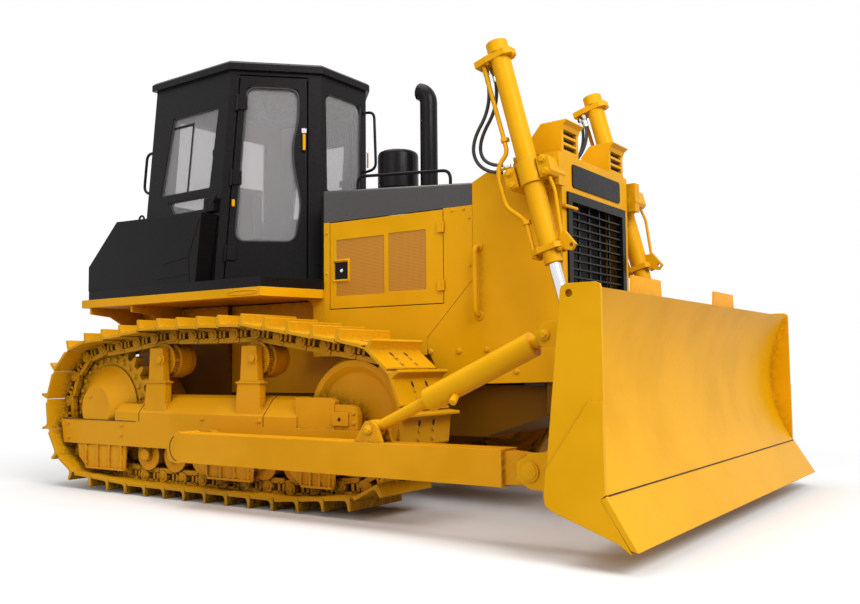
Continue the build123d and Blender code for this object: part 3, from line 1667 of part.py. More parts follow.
with BuildPart() as lift_barrel_left:
    mirror(lift_barrel_right.part, about=Plane.XZ)
save(lift_barrel_left, "lift_barrel_left")

with BuildPart() as lift_rod_right:
    rod_between((eye_point - lift_run * rod_length), (eye_point - lift_run * 30), rod_radius)
    side_disc(lift_eye, eye_radius, -lift_y + eye_width / 2, -lift_y - eye_width / 2)
    side_disc(lift_eye, eye_pin, -lift_y + eye_width, -lift_y - eye_width, Mode.SUBTRACT)
save(lift_rod_right, "lift_rod_right")

with BuildPart() as lift_rod_left:
    mirror(lift_rod_right.part, about=Plane.XZ)
save(lift_rod_left, "lift_rod_left")


# Hoses from the top flange of each lift cylinder round to its yoke
def hose(points, label):
    """A hose along straight runs joined by arcs that touch them."""
    runs = [b - a for a, b in zip(points, points[1:])]
    radii = []
    for first, second in zip(runs, runs[1:]):
        half_turn = math.radians(first.get_angle(second)) / 2
        radii.append(0.45 * min(first.length, second.length) / math.tan(half_turn))
    with BuildPart() as tube:
        with BuildLine() as route:
            FilletPolyline(*points, radius=radii)
        with BuildSketch(Plane(origin=points[0], z_dir=runs[0])):
            Circle(hose_radius)
        sweep(path=route.wire())
    print(label, "length", round(route.wire().length, 1), "radii", [round(radius, 1) for radius in radii])
    save(tube, label)
    return tube.part


hose_bends = (
    (Vector(1110, hose_y - 60, 2225), Vector(1195, hose_y, lower_ports[0].Z)),
    (Vector(1143, hose_y - 15, 2251), Vector(1210, hose_y, lower_ports[1].Z)),
)
for name, upper, lower, bends in zip(("hose_upper", "hose_lower"), upper_ports, lower_ports, hose_bends):
    start = upper + lift_run * fitting_length
    end = lower - Vector(fitting_length - 10, 0, 0)
    route_points = [start, start + lift_run * 175, *bends, end]
    right_hose = hose(route_points, f"{name}_right")
    with BuildPart() as left_hose:
        mirror(right_hose, about=Plane.XZ)
    save(left_hose, f"{name}_left")
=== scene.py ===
import json
import math

import bmesh
import bpy
import numpy as np
from bpy.props import FloatProperty, FloatVectorProperty, PointerProperty
from mathutils import Matrix, Vector


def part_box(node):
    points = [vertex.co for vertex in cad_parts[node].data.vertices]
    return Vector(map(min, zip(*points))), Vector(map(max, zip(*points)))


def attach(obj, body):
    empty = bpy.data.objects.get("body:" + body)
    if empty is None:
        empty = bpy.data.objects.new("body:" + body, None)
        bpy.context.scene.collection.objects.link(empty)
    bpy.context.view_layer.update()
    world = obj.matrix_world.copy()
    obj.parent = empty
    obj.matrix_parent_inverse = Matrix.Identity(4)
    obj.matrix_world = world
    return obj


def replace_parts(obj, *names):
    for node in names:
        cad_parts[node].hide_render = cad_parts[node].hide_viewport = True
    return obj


bl_info = {
    "name": "Crawler Dozer Dresser",
    "version": (1, 0, 0),
    "blender": (4, 5, 0),
    "location": "View3D > Sidebar > Dozer",
    "description": "Dresses the packed crawler dozer with paint, glass, hoses, bolts and a studio",
    "category": "Object",
}

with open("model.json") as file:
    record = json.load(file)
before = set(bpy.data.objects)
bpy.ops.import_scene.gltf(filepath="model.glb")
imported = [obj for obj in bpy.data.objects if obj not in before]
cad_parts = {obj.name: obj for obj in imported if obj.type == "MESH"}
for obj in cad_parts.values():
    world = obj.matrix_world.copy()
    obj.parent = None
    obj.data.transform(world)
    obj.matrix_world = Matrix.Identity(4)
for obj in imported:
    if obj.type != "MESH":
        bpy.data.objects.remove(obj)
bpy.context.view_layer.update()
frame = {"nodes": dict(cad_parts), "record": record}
NODES = frame["nodes"]


class DozerFinish(bpy.types.PropertyGroup):
    """Colours and finish values of the machine."""

    yellow: FloatVectorProperty(
        name="Yellow enamel", description="Body paint", subtype="COLOR", size=3,
        default=(0.80, 0.385, 0.004), min=0, max=1,
    )
    black: FloatVectorProperty(
        name="Black enamel", description="Cab and tank paint", subtype="COLOR", size=3,
        default=(0.0075, 0.0066, 0.0064), min=0, max=1,
    )
    glass: FloatVectorProperty(
        name="Glass tint", description="Colour seen through the cab's panes", subtype="COLOR", size=3,
        default=(0.74, 0.725, 0.73), min=0, max=1,
    )
    # Dust with painted shade: a dark soil colour that the paint film lays into corners, where shade falls
    dust_and_shade: FloatVectorProperty(
        name="Dust and Shade", description="Dry soil and painted shade in the corners", subtype="COLOR", size=3,
        default=(0.075, 0.034, 0.006), min=0, max=1,
    )
    edge_round: FloatProperty(
        name="Edge rounding", description="Radius of the shaded corner on plate edges", subtype="DISTANCE",
        unit="LENGTH", default=0.005, min=0, max=0.03,
    )


class DozerStage(bpy.types.PropertyGroup):
    """Camera and studio values."""

    camera_place: FloatVectorProperty(
        name="Camera place", description="Where the camera stands", subtype="TRANSLATION", unit="LENGTH",
        size=3, default=(4.045, -5.377, 0.893),
    )
    azimuth: FloatProperty(
        name="Azimuth", description="Turn of the view from straight across the machine", subtype="ANGLE",
        unit="ROTATION", default=math.radians(34.34),
    )
    pitch: FloatProperty(
        name="Pitch", description="Rise of the view above level", subtype="ANGLE", unit="ROTATION",
        default=math.radians(3.96),
    )
    roll: FloatProperty(
        name="Roll", description="Turn of the picture", subtype="ANGLE", unit="ROTATION",
        default=math.radians(-0.518),
    )
    lens: FloatProperty(
        name="Lens", description="Focal length on a 36 mm wide sensor", unit="CAMERA", default=38.28, min=5,
    )
    floor_size: FloatProperty(
        name="Floor size", description="Half width of the floor", subtype="DISTANCE", unit="LENGTH",
        default=40.0,
    )


class DozerTrim(bpy.types.PropertyGroup):
    """Sizes of the small pieces."""

    hose_radius: FloatProperty(
        name="Hose radius", description="Outer radius of the lift hoses", subtype="DISTANCE", unit="LENGTH",
        default=0.011, min=0.004, max=0.02,
    )
    pipe_radius: FloatProperty(
        name="Pipe radius", description="Outer radius of the steel pipes on the lift cylinders",
        subtype="DISTANCE", unit="LENGTH", default=0.0135, min=0.004, max=0.02,
    )
    rail_radius: FloatProperty(
        name="Rail radius", description="Outer radius of the hand and grab rails", subtype="DISTANCE",
        unit="LENGTH", default=0.011, min=0.005, max=0.03,
    )


# Shader pieces


def new_material(name):
    """An empty node material with its Principled shader, its tree and its Object coordinates."""
    material = bpy.data.materials.new(name)
    material.use_nodes = True
    tree = material.node_tree
    shader = tree.nodes["Principled BSDF"]
    place = tree.nodes.new("ShaderNodeTexCoord")
    return material, tree, shader, place.outputs["Object"]


def link(tree, source, target):
    """Join an output to an input."""
    tree.links.new(source, target)


def node(tree, kind, **values):
    """A node with its settings; keys that name an input set that input's value."""
    made = tree.nodes.new(kind)
    for key, value in values.items():
        if key in made.inputs:
            made.inputs[key].default_value = value
        else:
            setattr(made, key, value)
    return made


def noise(tree, coords, scale, detail=4.0, rough=0.55):
    """Fractal noise at a scale in features per metre."""
    made = node(tree, "ShaderNodeTexNoise", Scale=scale, Detail=detail, Roughness=rough)
    link(tree, coords, made.inputs["Vector"])
    return made.outputs["Fac"]


def ramp(tree, value, low, high, from_value=0.0, to_value=1.0):
    """A smooth step of a value between two limits."""
    limits = {"From Min": low, "From Max": high, "To Min": from_value, "To Max": to_value}
    made = node(tree, "ShaderNodeMapRange", interpolation_type="SMOOTHSTEP", **limits)
    link(tree, value, made.inputs["Value"])
    return made.outputs["Result"]


def feed(tree, socket, value):
    """Link an output into a socket, or set a plain number or colour there."""
    if hasattr(value, "is_output"):
        link(tree, value, socket)
    elif np.ndim(value):
        socket.default_value = (*value, 1.0)
    else:
        socket.default_value = value


def mix_colour(tree, share, first, second):
    """Mix of two colours, each an output or a plain colour."""
    made = node(tree, "ShaderNodeMix", data_type="RGBA")
    link(tree, share, made.inputs[0])
    feed(tree, made.inputs[6], first)
    feed(tree, made.inputs[7], second)
    return made.outputs[2]


def math_node(tree, operation, first, second):
    """One arithmetic step; each side is an output or a number."""
    made = node(tree, "ShaderNodeMath", operation=operation)
    feed(tree, made.inputs[0], first)
    feed(tree, made.inputs[1], second)
    return made.outputs[0]


def add_bump(tree, shader, height, strength, depth=0.002):
    """Feed a height into the shader's normal as a bump of a strength and a depth in metres."""
    bump = node(tree, "ShaderNodeBump", Strength=strength, Distance=depth)
    link(tree, height, bump.inputs["Height"])
    link(tree, bump.outputs["Normal"], shader.inputs["Normal"])
    return bump


def seen_rays(tree):
    """One for rays that show the background: the camera's own, and those through glass or off a gloss."""
    paths = tree.nodes.new("ShaderNodeLightPath")
    rays = [paths.outputs[f"Is {kind} Ray"] for kind in ("Camera", "Transmission", "Glossy")]
    return math_node(tree, "MAXIMUM", math_node(tree, "MAXIMUM", *rays[:2]), rays[2])


def new_group(name, inputs, outputs):
    """A shader node group with sockets of a name and a kind; returns its tree, inputs and outputs."""
    group = bpy.data.node_groups.new(name, "ShaderNodeTree")
    for way, sockets in (("INPUT", inputs), ("OUTPUT", outputs)):
        for label, kind in sockets.items():
            group.interface.new_socket(name=label, in_out=way, socket_type=f"NodeSocket{kind}")
    entry = group.nodes.new("NodeGroupInput")
    leave = group.nodes.new("NodeGroupOutput")
    return group, entry.outputs, leave.inputs


def make_paint_group():
    """Paint film: slow tone drift, fine orange peel, dust with painted shade that gathers in corners, and pale
    worn edges.

    Tone, and dust with painted shade, are smooth steps of fractal noise. Corners come from ambient occlusion,
    and edges from the angle between the true normal and a rounded one.
    """
    group, inp, out = new_group(
        "paint_film",
        {
            "Vector": "Vector", "Paint": "Color", "Dust and Shade": "Color", "Dust and Shade Amount": "Float", "Wear": "Float",
            "Edge Radius": "Float", "Base Roughness": "Float",
        },
        {"Color": "Color", "Roughness": "Float", "Height": "Float", "Normal": "Vector"},
    )
    tone = noise(group, inp["Vector"], 1.7, 3.0)
    speck = noise(group, inp["Vector"], 38.0, 5.0, 0.65)
    deeper = node(group, "ShaderNodeHueSaturation", Saturation=1.06, Value=0.90)
    link(group, inp["Paint"], deeper.inputs["Color"])
    toned = mix_colour(group, ramp(group, tone, 0.38, 0.66), inp["Paint"], deeper.outputs["Color"])
    bevel = node(group, "ShaderNodeBevel", samples=4)
    link(group, inp["Edge Radius"], bevel.inputs["Radius"])
    geometry = group.nodes.new("ShaderNodeNewGeometry")
    facing = node(group, "ShaderNodeVectorMath", operation="DOT_PRODUCT")
    link(group, bevel.outputs["Normal"], facing.inputs[0])
    link(group, geometry.outputs["Normal"], facing.inputs[1])
    edge = ramp(group, facing.outputs["Value"], 0.985, 0.86)
    rubbed = math_node(group, "MULTIPLY", edge, ramp(group, speck, 0.44, 0.60))
    rubbed = math_node(group, "MULTIPLY", rubbed, inp["Wear"])
    bright = node(group, "ShaderNodeHueSaturation", Saturation=0.86, Value=1.22)
    link(group, toned, bright.inputs["Color"])
    worn = mix_colour(group, rubbed, toned, bright.outputs["Color"])
    # Dust with painted shade: the dust colour is laid into the corners that ambient occlusion finds, where
    # shade falls
    corner = node(group, "ShaderNodeAmbientOcclusion", samples=4, Distance=0.16)
    hollow = ramp(group, corner.outputs["AO"], 0.85, 0.25)
    patch = math_node(group, "MULTIPLY", hollow, ramp(group, speck, 0.30, 0.62))
    dust_and_shade_share = math_node(group, "MULTIPLY", patch, inp["Dust and Shade Amount"])
    link(group, mix_colour(group, dust_and_shade_share, worn, inp["Dust and Shade"]), out["Color"])
    rough = math_node(group, "ADD", inp["Base Roughness"], ramp(group, speck, 0.35, 0.75, -0.05, 0.09))
    rough = math_node(group, "ADD", rough, math_node(group, "MULTIPLY", dust_and_shade_share, 0.35))
    link(group, rough, out["Roughness"])
    peel = noise(group, inp["Vector"], 230.0, 2.0)
    link(group, peel, out["Height"])
    link(group, bevel.outputs["Normal"], out["Normal"])
    return group


def paint_material(film, finish, name, base, tint, rough, dust_and_shade, wear, gloss, coat, peel):
    """Enamel over plate: the shared paint film feeds colour, roughness and a faint orange-peel bump.

    The colour is one of the finish's own, times a tint.
    """
    material, tree, shader, coords = new_material(name)
    painted = tree.nodes.new("ShaderNodeGroup")
    painted.node_tree = film
    values = {
        "Vector": coords, "Paint": np.multiply(getattr(finish, base), tint), "Dust and Shade": tuple(finish.dust_and_shade),
        "Dust and Shade Amount": dust_and_shade, "Wear": wear, "Edge Radius": finish.edge_round, "Base Roughness": rough,
    }
    for label, value in values.items():
        feed(tree, painted.inputs[label], value)
    bump = add_bump(tree, shader, painted.outputs["Height"], peel)
    link(tree, painted.outputs["Normal"], bump.inputs["Normal"])
    link(tree, painted.outputs["Color"], shader.inputs["Base Color"])
    link(tree, painted.outputs["Roughness"], shader.inputs["Roughness"])
    shader.inputs["Specular IOR Level"].default_value = gloss
    shader.inputs["Coat Weight"].default_value = coat
    shader.inputs["Coat Roughness"].default_value = 0.12
    return material


def glass_material(name, tint):
    """Tinted safety glass with faint smears in its roughness."""
    material, tree, shader, coords = new_material(name)
    smear = noise(tree, coords, 6.0, 4.0)
    link(tree, ramp(tree, smear, 0.35, 0.75, 0.0, 0.03), shader.inputs["Roughness"])
    shader.inputs["Base Color"].default_value = (*tint, 1.0)
    shader.inputs["Transmission Weight"].default_value = 0.80
    shader.inputs["IOR"].default_value = 1.15
    return material


def chrome_material(name):
    """Hard chrome with fine polishing lines round the rod."""
    material, tree, shader, coords = new_material(name)
    lines = noise(tree, coords, 160.0, 2.0)
    link(tree, ramp(tree, lines, 0.3, 0.7, 0.06, 0.13), shader.inputs["Roughness"])
    link(tree, mix_colour(tree, lines, (0.70, 0.71, 0.73), (0.82, 0.82, 0.83)), shader.inputs["Base Color"])
    shader.inputs["Metallic"].default_value = 1.0
    return material


def grained_material(name, first, second, scale, rough, bump_share, metallic):
    """A grained surface: noise drives colour between two tones, roughness and bump."""
    material, tree, shader, coords = new_material(name)
    grain = noise(tree, coords, scale, 6.0, 0.6)
    link(tree, mix_colour(tree, ramp(tree, grain, 0.3, 0.7), first, second), shader.inputs["Base Color"])
    link(tree, ramp(tree, grain, 0.3, 0.7, rough - 0.08, rough + 0.08), shader.inputs["Roughness"])
    add_bump(tree, shader, grain, bump_share)
    shader.inputs["Metallic"].default_value = metallic
    return material


def screen_material(name, colour):
    """Perforated sheet: round holes on a square lattice, from the distance to the nearest lattice point."""
    material, tree, shader, coords = new_material(name)
    parts = node(tree, "ShaderNodeSeparateXYZ")
    link(tree, coords, parts.inputs[0])
    flat = node(tree, "ShaderNodeCombineXYZ")
    link(tree, parts.outputs["X"], flat.inputs["X"])
    link(tree, parts.outputs["Z"], flat.inputs["Y"])
    holes = node(tree, "ShaderNodeTexVoronoi", voronoi_dimensions="2D", Scale=105.0, Randomness=0.0)
    link(tree, flat.outputs["Vector"], holes.inputs["Vector"])
    solid = ramp(tree, holes.outputs["Distance"], 0.26, 0.36)
    # The holes are painted shade: dark spots where the shaded space behind the sheet shows through. The sheet
    # between them is the yellow made darker and more orange
    dark = tuple(0.30 * share for share in colour)
    sheet = tuple(np.multiply(colour, (0.74, 0.62, 1.0)))
    link(tree, mix_colour(tree, solid, dark, sheet), shader.inputs["Base Color"])
    link(tree, ramp(tree, solid, 0.0, 1.0, 0.8, 0.42), shader.inputs["Roughness"])
    add_bump(tree, shader, solid, 0.15, 0.001)
    return material


MATERIALS = {}

# Material, base colour, tint, roughness, dust with painted shade, wear, gloss, coat, orange peel
ENAMELS = {
    "yellow": ("yellow_enamel", "yellow", (1.0, 1.0, 1.0), 0.38, 0.55, 0.5, 0.07, 0.01, 0.02),
    # The undercarriage tint is painted shade: the yellow made a little darker and more orange on these low
    # parts
    "frame": ("undercarriage_yellow", "yellow", (0.95, 0.87, 1.2), 0.46, 0.9, 0.6, 0.12, 0.0, 0.02),
    # The belly is painted shade: the yellow made dark brown under the machine, where shade falls
    "belly": ("belly_painted_shade", "yellow", (0.24, 0.21, 1.5), 0.55, 1.0, 0.4, 0.12, 0.0, 0.02),
    "track": ("track_yellow", "yellow", (0.86, 0.86, 1.2), 0.46, 1.0, 1.0, 0.12, 0.0, 0.02),
    "edge": ("edge_yellow", "yellow", (1.0, 1.0, 1.0), 0.38, 0.4, 0.8, 0.07, 0.01, 0.02),
    "black": ("black_enamel", "black", (1.0, 1.0, 1.0), 0.30, 0.0, 0.2, 0.10, 0.03, 0.006),
    # The hood's tint is a painted reflection: the black raised fivefold to show the grey sheen of its glossy
    # top
    "hood": ("hood_black", "black", (5.0, 5.0, 5.0), 0.32, 0.0, 0.2, 0.5, 0.3, 0.003),
}

# Material, two tones, grains per metre, roughness, bump, metal
GRAINS = {
    "steel": ("oiled_steel", (0.05, 0.04, 0.03), (0.20, 0.15, 0.09), 24, 0.5, 0.2, 0.6),
    "engine": ("engine_casting", (0.30, 0.17, 0.02), (0.42, 0.24, 0.03), 30, 0.5, 0.3, 0.0),
    "core": ("radiator_fins", (0.004, 0.004, 0.004), (0.02, 0.018, 0.016), 90, 0.6, 0.5, 0.0),
    "vinyl": ("seat_vinyl", (0.012, 0.012, 0.013), (0.03, 0.03, 0.03), 260, 0.5, 0.35, 0.0),
    "rubber": ("hose_rubber", (0.008, 0.008, 0.008), (0.03, 0.028, 0.026), 140, 0.5, 0.25, 0.0),
    "pit": ("shadow_gap", (0.004, 0.003, 0.002), (0.014, 0.010, 0.006), 60, 0.8, 0.1, 0.0),
}

# The finish of each slot in the record, and of the nodes that depart from their slot
SLOT_FINISH = {
    "yellow_paint": "yellow", "black_paint": "black", "hood_black": "hood", "edge_paint": "edge",
    "track_paint": "track", "worn_steel": "steel", "engine_paint": "engine", "core_metal": "core",
    "chrome_rod": "chrome", "lamp_glass": "glass", "glass": "glass", "seat_vinyl": "vinyl",
    "hose_rubber": "rubber",
}
NODE_FINISH = {
    "frame": (
        "track_frame_left", "track_frame_right", "track_rollers", "carrier_rollers", "idlers",
        "final_drives", "push_arms",
    ),
    # Painted shade: the pieces under the machine take the dark belly paint
    "belly": ("equalizer_bar", "main_frame", "transmission_case"),
    "track": ("sprockets",),
}

# The slot that belongs to each finish
SLOTS = {finish: slot for slot, finish in SLOT_FINISH.items()}
SLOTS.update(frame="yellow_paint", screen="yellow_paint", pit="core_metal")


def paint_node(name, finish):
    """Give a CAD node one finish in every slot."""
    mesh = NODES[name].data
    mesh.materials.clear()
    mesh.materials.append(MATERIALS[finish])


# Shapes: a solid is an array of points and a list of arrays of faces

SMOOTH_BELOW = math.radians(32)
BEVEL_ABOVE = math.radians(40)


def grid_faces(rows, columns, close_rows=False):
    """Quads between neighbouring points of a grid; columns always close round to the first."""
    i = np.arange(rows if close_rows else rows - 1)[:, None]
    j = np.arange(columns)[None, :]
    i2 = (i + 1) % rows
    j2 = (j + 1) % columns
    corners = (i * columns + j, i2 * columns + j, i2 * columns + j2, i * columns + j2)
    return np.stack(np.broadcast_arrays(*corners), axis=-1).reshape(-1, 4)


def end_caps(rows, columns):
    """One flat face over the first ring of a grid and one over the last."""
    first = np.arange(columns)
    return np.stack([first[::-1], first + (rows - 1) * columns])


def full_turn(count):
    """Equal steps of angle round a circle."""
    return np.linspace(0, 2 * np.pi, count, endpoint=False)


def prism(outline, low, high):
    """An outline in the first two axes, carried straight along the third from low to high."""
    ring = np.asarray(outline, float)
    count = len(ring)
    ends = [np.column_stack([ring, np.full(count, level)]) for level in (low, high)]
    return np.vstack(ends), [grid_faces(2, count), end_caps(2, count)]


def box(low, high):
    """A block between two corners."""
    (x1, y1, z1), (x2, y2, z2) = low, high
    return prism([(x1, y1), (x2, y1), (x2, y2), (x1, y2)], z1, z2)


def lathe(profile, sides=24):
    """A profile of radius and height turned round the third axis, with a flat cap at each end."""
    profile = np.asarray(profile, float)
    angle = full_turn(sides)
    round_x = profile[:, :1] * np.cos(angle)
    round_y = profile[:, :1] * np.sin(angle)
    height = np.broadcast_to(profile[:, 1:], round_x.shape)
    points = np.stack([round_x, round_y, height], axis=-1).reshape(-1, 3)
    return points, [grid_faces(len(profile), sides), end_caps(len(profile), sides)]


def unit(vectors):
    """Vectors of length one."""
    return vectors / np.linalg.norm(vectors, axis=-1, keepdims=True)


def tube(path, radius, sides=12, closed=False):
    """A round section carried along a path, each ring square to the path's own direction."""
    path = np.asarray(path, float)
    if closed:
        along = np.roll(path, -1, axis=0) - np.roll(path, 1, axis=0)
    else:
        along = np.gradient(path, axis=0)
    along = unit(along)
    reference = np.eye(3)[np.argmin(np.abs(along).max(axis=0))]
    across = unit(np.cross(along, reference))
    other = np.cross(across, along)
    angle = full_turn(sides)[None, :, None]
    rings = path[:, None] + radius * (np.cos(angle) * across[:, None] + np.sin(angle) * other[:, None])
    faces = [grid_faces(len(path), sides, closed)]
    if not closed:
        faces.append(end_caps(len(path), sides))
    return rings.reshape(-1, 3), faces


def bent(points, reach, steps=7, closed=False):
    """A bar's path: each corner gives way to a parabola that starts and ends a reach away from it."""
    points = np.asarray(points, float)
    ring = points if closed else points[1:-1]
    before = np.roll(points, 1, axis=0) if closed else points[:-2]
    after = np.roll(points, -1, axis=0) if closed else points[2:]
    start = ring + unit(before - ring) * reach
    end = ring + unit(after - ring) * reach
    share = np.linspace(0, 1, steps)[None, :, None]
    weights = ((1 - share) ** 2, 2 * share * (1 - share), share**2)
    curve = weights[0] * start[:, None] + weights[1] * ring[:, None] + weights[2] * end[:, None]
    curve = curve.reshape(-1, 3)
    return curve if closed else np.vstack([points[:1], curve, points[-1:]])


def join(*solids):
    """One solid from several, with the faces renumbered."""
    starts = np.cumsum([0] + [len(points) for points, _ in solids])
    faces = [polygon + start for (_, polygons), start in zip(solids, starts) for polygon in polygons]
    return np.vstack([points for points, _ in solids]), faces


def copies(solid, places, turns=None):
    """A solid repeated at many places, each copy turned by its own three axes (the columns of a matrix)."""
    points, polygons = solid
    places = np.asarray(places, float)
    if turns is None:
        turns = np.broadcast_to(np.eye(3), (len(places), 3, 3))
    moved = np.einsum("nij,kj->nki", turns, points) + places[:, None]
    steps = (np.arange(len(places)) * len(points))[:, None, None]
    faces = [(polygon[None] + steps).reshape(-1, polygon.shape[1]) for polygon in polygons]
    return moved.reshape(-1, 3), faces


def facing(directions):
    """Matrices whose third column looks along each direction."""
    ahead = unit(np.asarray(directions, float))
    reference = np.where(np.abs(ahead[:, 2:]) > 0.9, [[1.0, 0.0, 0.0]], [[0.0, 0.0, 1.0]])
    across = unit(np.cross(reference, ahead))
    return np.stack([across, np.cross(ahead, across), ahead], axis=-1)


def mirrored(solid):
    """The same solid on the machine's other side."""
    points, polygons = solid
    return points * (1, -1, 1), polygons


def both_sides(solid):
    """A solid and its mirror image."""
    return join(solid, mirrored(solid))


def on_side(solid, side):
    """A solid of the right side, mirrored where it belongs on the left."""
    return mirrored(solid) if side > 0 else solid


def bolt(radius):
    """A hex head on a washer, both with a small chamfer."""
    washer = lathe(np.array([(1.55, -0.2), (1.55, 0.16), (1.4, 0.24)]) * radius, 16)
    head = lathe(np.array([(1.12, 0.2), (1.12, 0.75), (0.95, 0.9)]) * radius, 6)
    return join(washer, head)


def bolts(radius, places, direction):
    """Bolts at many places, all looking the same way."""
    count = len(places)
    return copies(bolt(radius), places, facing(np.tile(direction, (count, 1))))


def across_bar(profile, x, z, sides=40):
    """A turned piece whose axis runs across the machine; the profile gives radius and Y."""
    points, polygons = lathe(profile, sides)
    return points[:, [0, 2, 1]] + (x, 0, z), polygons


def round_y(x, y, z, radius, angle):
    """Points round an axis across the machine, at angles from straight ahead towards straight up."""
    ahead, above = x + radius * np.cos(angle), z + radius * np.sin(angle)
    return np.stack([ahead, np.full(len(angle), y), above], axis=-1)


def open_pipe(path, radius, bore, start, sides=40):
    """A pipe that is open at its far end: outer and inner walls along a path, a rim and two floors.

    Each wall is a ring of points carried along the path; the inner one starts some points along it.
    """
    outside, _ = tube(path, radius, sides)
    inside, _ = tube(path[start:], bore, sides)
    first = np.arange(sides)
    last = len(outside) - sides + first
    inner = len(outside) + len(inside) - sides + first
    faces = [
        grid_faces(len(path), sides),
        grid_faces(len(path) - start, sides) + len(outside),
        np.stack([last, np.roll(last, -1), np.roll(inner, -1), inner], axis=-1),
        (len(outside) + first)[None],
        first[None, ::-1],
    ]
    return np.vstack([outside, inside]), faces


def add_piece(name, solid, material, body="chassis"):
    """Put a solid into a mesh, turn its faces outwards, smooth its gentle edges and set it on a body."""
    points, polygons = solid
    mesh = bpy.data.meshes.new(name)
    mesh.from_pydata(points.tolist(), [], [face for polygon in polygons for face in polygon.tolist()])
    shape = bmesh.new()
    shape.from_mesh(mesh)
    bmesh.ops.recalc_face_normals(shape, faces=shape.faces)
    shape.to_mesh(mesh)
    shape.free()
    mesh.polygons.foreach_set("use_smooth", np.ones(len(mesh.polygons), bool))
    mesh.set_sharp_from_angle(angle=SMOOTH_BELOW)
    mesh.materials.append(MATERIALS[material])
    made = bpy.data.objects.new(name, mesh)
    bpy.context.scene.collection.objects.link(made)
    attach(made, body)
    return made


def soften(piece, width, segments=2):
    """Round the sharp edges of a piece with a bevel."""
    rounding = piece.modifiers.new("rounding", "BEVEL")
    rounding.width = width
    rounding.segments = segments
    rounding.limit_method = "ANGLE"
    rounding.angle_limit = BEVEL_ABOVE


# Places and shapes of this machine, in metres; the right side stands for both

SIDES = ((-1, "right"), (1, "left"))
OUT_RIGHT = (0.0, -1.0, 0.0)
GUARD_Y = -0.5

# Section of a track frame's cover: Y and Z
COVER_LINE = [(-1.1205, 0.512), (-1.1205, 0.575), (-1.0305, 0.6825), (-0.990, 0.7005)]

# Lift cylinder: its trunnion, the way down its axis and the way forward of it
LIFT_PIVOT = np.array([1.56007, 0.0, 2.005])
LIFT_RUN = np.array([0.2559, 0.0, -0.9667])
LIFT_FORWARD = np.array([0.9667, 0.0, 0.2559])
LIFT_AXES = np.stack([LIFT_FORWARD, [0.0, 1.0, 0.0], LIFT_RUN], axis=-1)

# Cab door: its lower rear corner, its axes across, up and out, and its window's corners across and up
DOOR_CORNER = np.array([-0.882, -0.740, 1.5])
DOOR_AXES = np.array([(0.7033, 0.7109, 0.0), (0.0, 0.0, 1.0), (0.7109, -0.7033, 0.0)])
DOOR_WINDOW = [
    (0.0349, 0.3100), (0.4712, 0.3100), (0.5162, 0.5853), (0.4562, 0.9064),
    (0.4562, 1.0670), (0.4962, 1.2161), (0.4962, 1.4570), (0.1170, 1.4570),
]

# Cab side wall: half width and lean, from the roof's edge down, and the taper to the rear of the pillar
CAB_TOP, CAB_HEIGHT, CAB_HALF, CAB_LEAN = 3.05, 1.55, 0.74, 0.077
PILLAR_X, REAR_RUN, REAR_TAPER = -0.882, 0.875, 0.04

# Window seals: the bead's radius and its bend at a corner
SEAL_RADIUS = 0.008
SEAL_CORNER = 0.022

# Lift hoses: name, route with Y away from the middle, length
HOSES = [
    (
        "hose_upper",
        [
            (1.26280, 0.671, 2.64343), (1.30758, 0.671, 2.47426), (1.110, 0.645, 2.225),
            (1.195, 0.585, 2.055), (1.37507, 0.585, 2.055),
        ],
        0.8248,
    ),
    (
        "hose_lower",
        [
            (1.30146, 0.647, 2.65367), (1.34625, 0.647, 2.48449), (1.143, 0.600, 2.251),
            (1.210, 0.585, 2.100), (1.37507, 0.585, 2.100),
        ],
        0.7732,
    ),
]

# Track: its middle, its shoes, its pairs of links, and the wheels of its pin line as X, Z and radius
TRACK_Y = 0.94
SHOE_COUNT = 37
SHOE_PITCH = 0.2034
LINK_Y = 0.075
LINK_HALF = 0.020
BOSS_PROUD = 0.008
PIN_WHEELS = np.array([
    (-1.907, 0.595, 0.440), (-1.370, 0.275, 0.152), (0.060, 0.275, 0.152),
    (0.509, 0.575, 0.412), (-0.307, 0.948, 0.167), (-1.227, 0.948, 0.167),
])
SPROCKET_X, SPROCKET_Z = PIN_WHEELS[0, :2]
ROLLERS = np.linspace(PIN_WHEELS[1, 0], PIN_WHEELS[2, 0], 6)
ROLLER_Z = PIN_WHEELS[1, 1]
CARRIERS = PIN_WHEELS[[5, 4], 0]
CARRIER_Z = PIN_WHEELS[5, 1]

# Cushions: inset before they swell, cell size, furthest move, cloth pressure and steps, sewn channels
PAD_INSET = 0.010
PAD_CELL = 0.006
PAD_MOVE = 0.024
PAD_PRESSURE = 4.0
PAD_STEPS = 20
CHANNELS_Y = (-0.085, 0.085)
CHANNEL_WIDTH = 0.008
CHANNEL_DEPTH = 0.008

# Studio: floor tones where it is seen, its tone for bounced light, its fade to white, the sky as light
FLOOR_TONES = ((0.80, 0.80, 0.80), (0.84, 0.84, 0.84))
FLOOR_BOUNCE = (0.42, 0.42, 0.42)
FLOOR_FADE = (2.6, 5.6)
SKY_LIGHT = 0.55

# Lamps: place, aim, watts, width
SOFTBOXES = {
    "key_softbox": ((9.0, -4.0, 8.0), (0.5, 0.0, 1.0), 980.0, 6.0),
    "top_softbox": ((-1.0, -1.0, 10.0), (0.0, 0.0, 1.0), 500.0, 7.0),
    "side_softbox": ((0.0, -9.0, 6.0), (0.0, 0.0, 1.6), 130.0, 5.0),
}


def on_circle(angle):
    """Points of the unit circle at some angles."""
    return np.stack([np.cos(angle), np.sin(angle)], axis=-1)


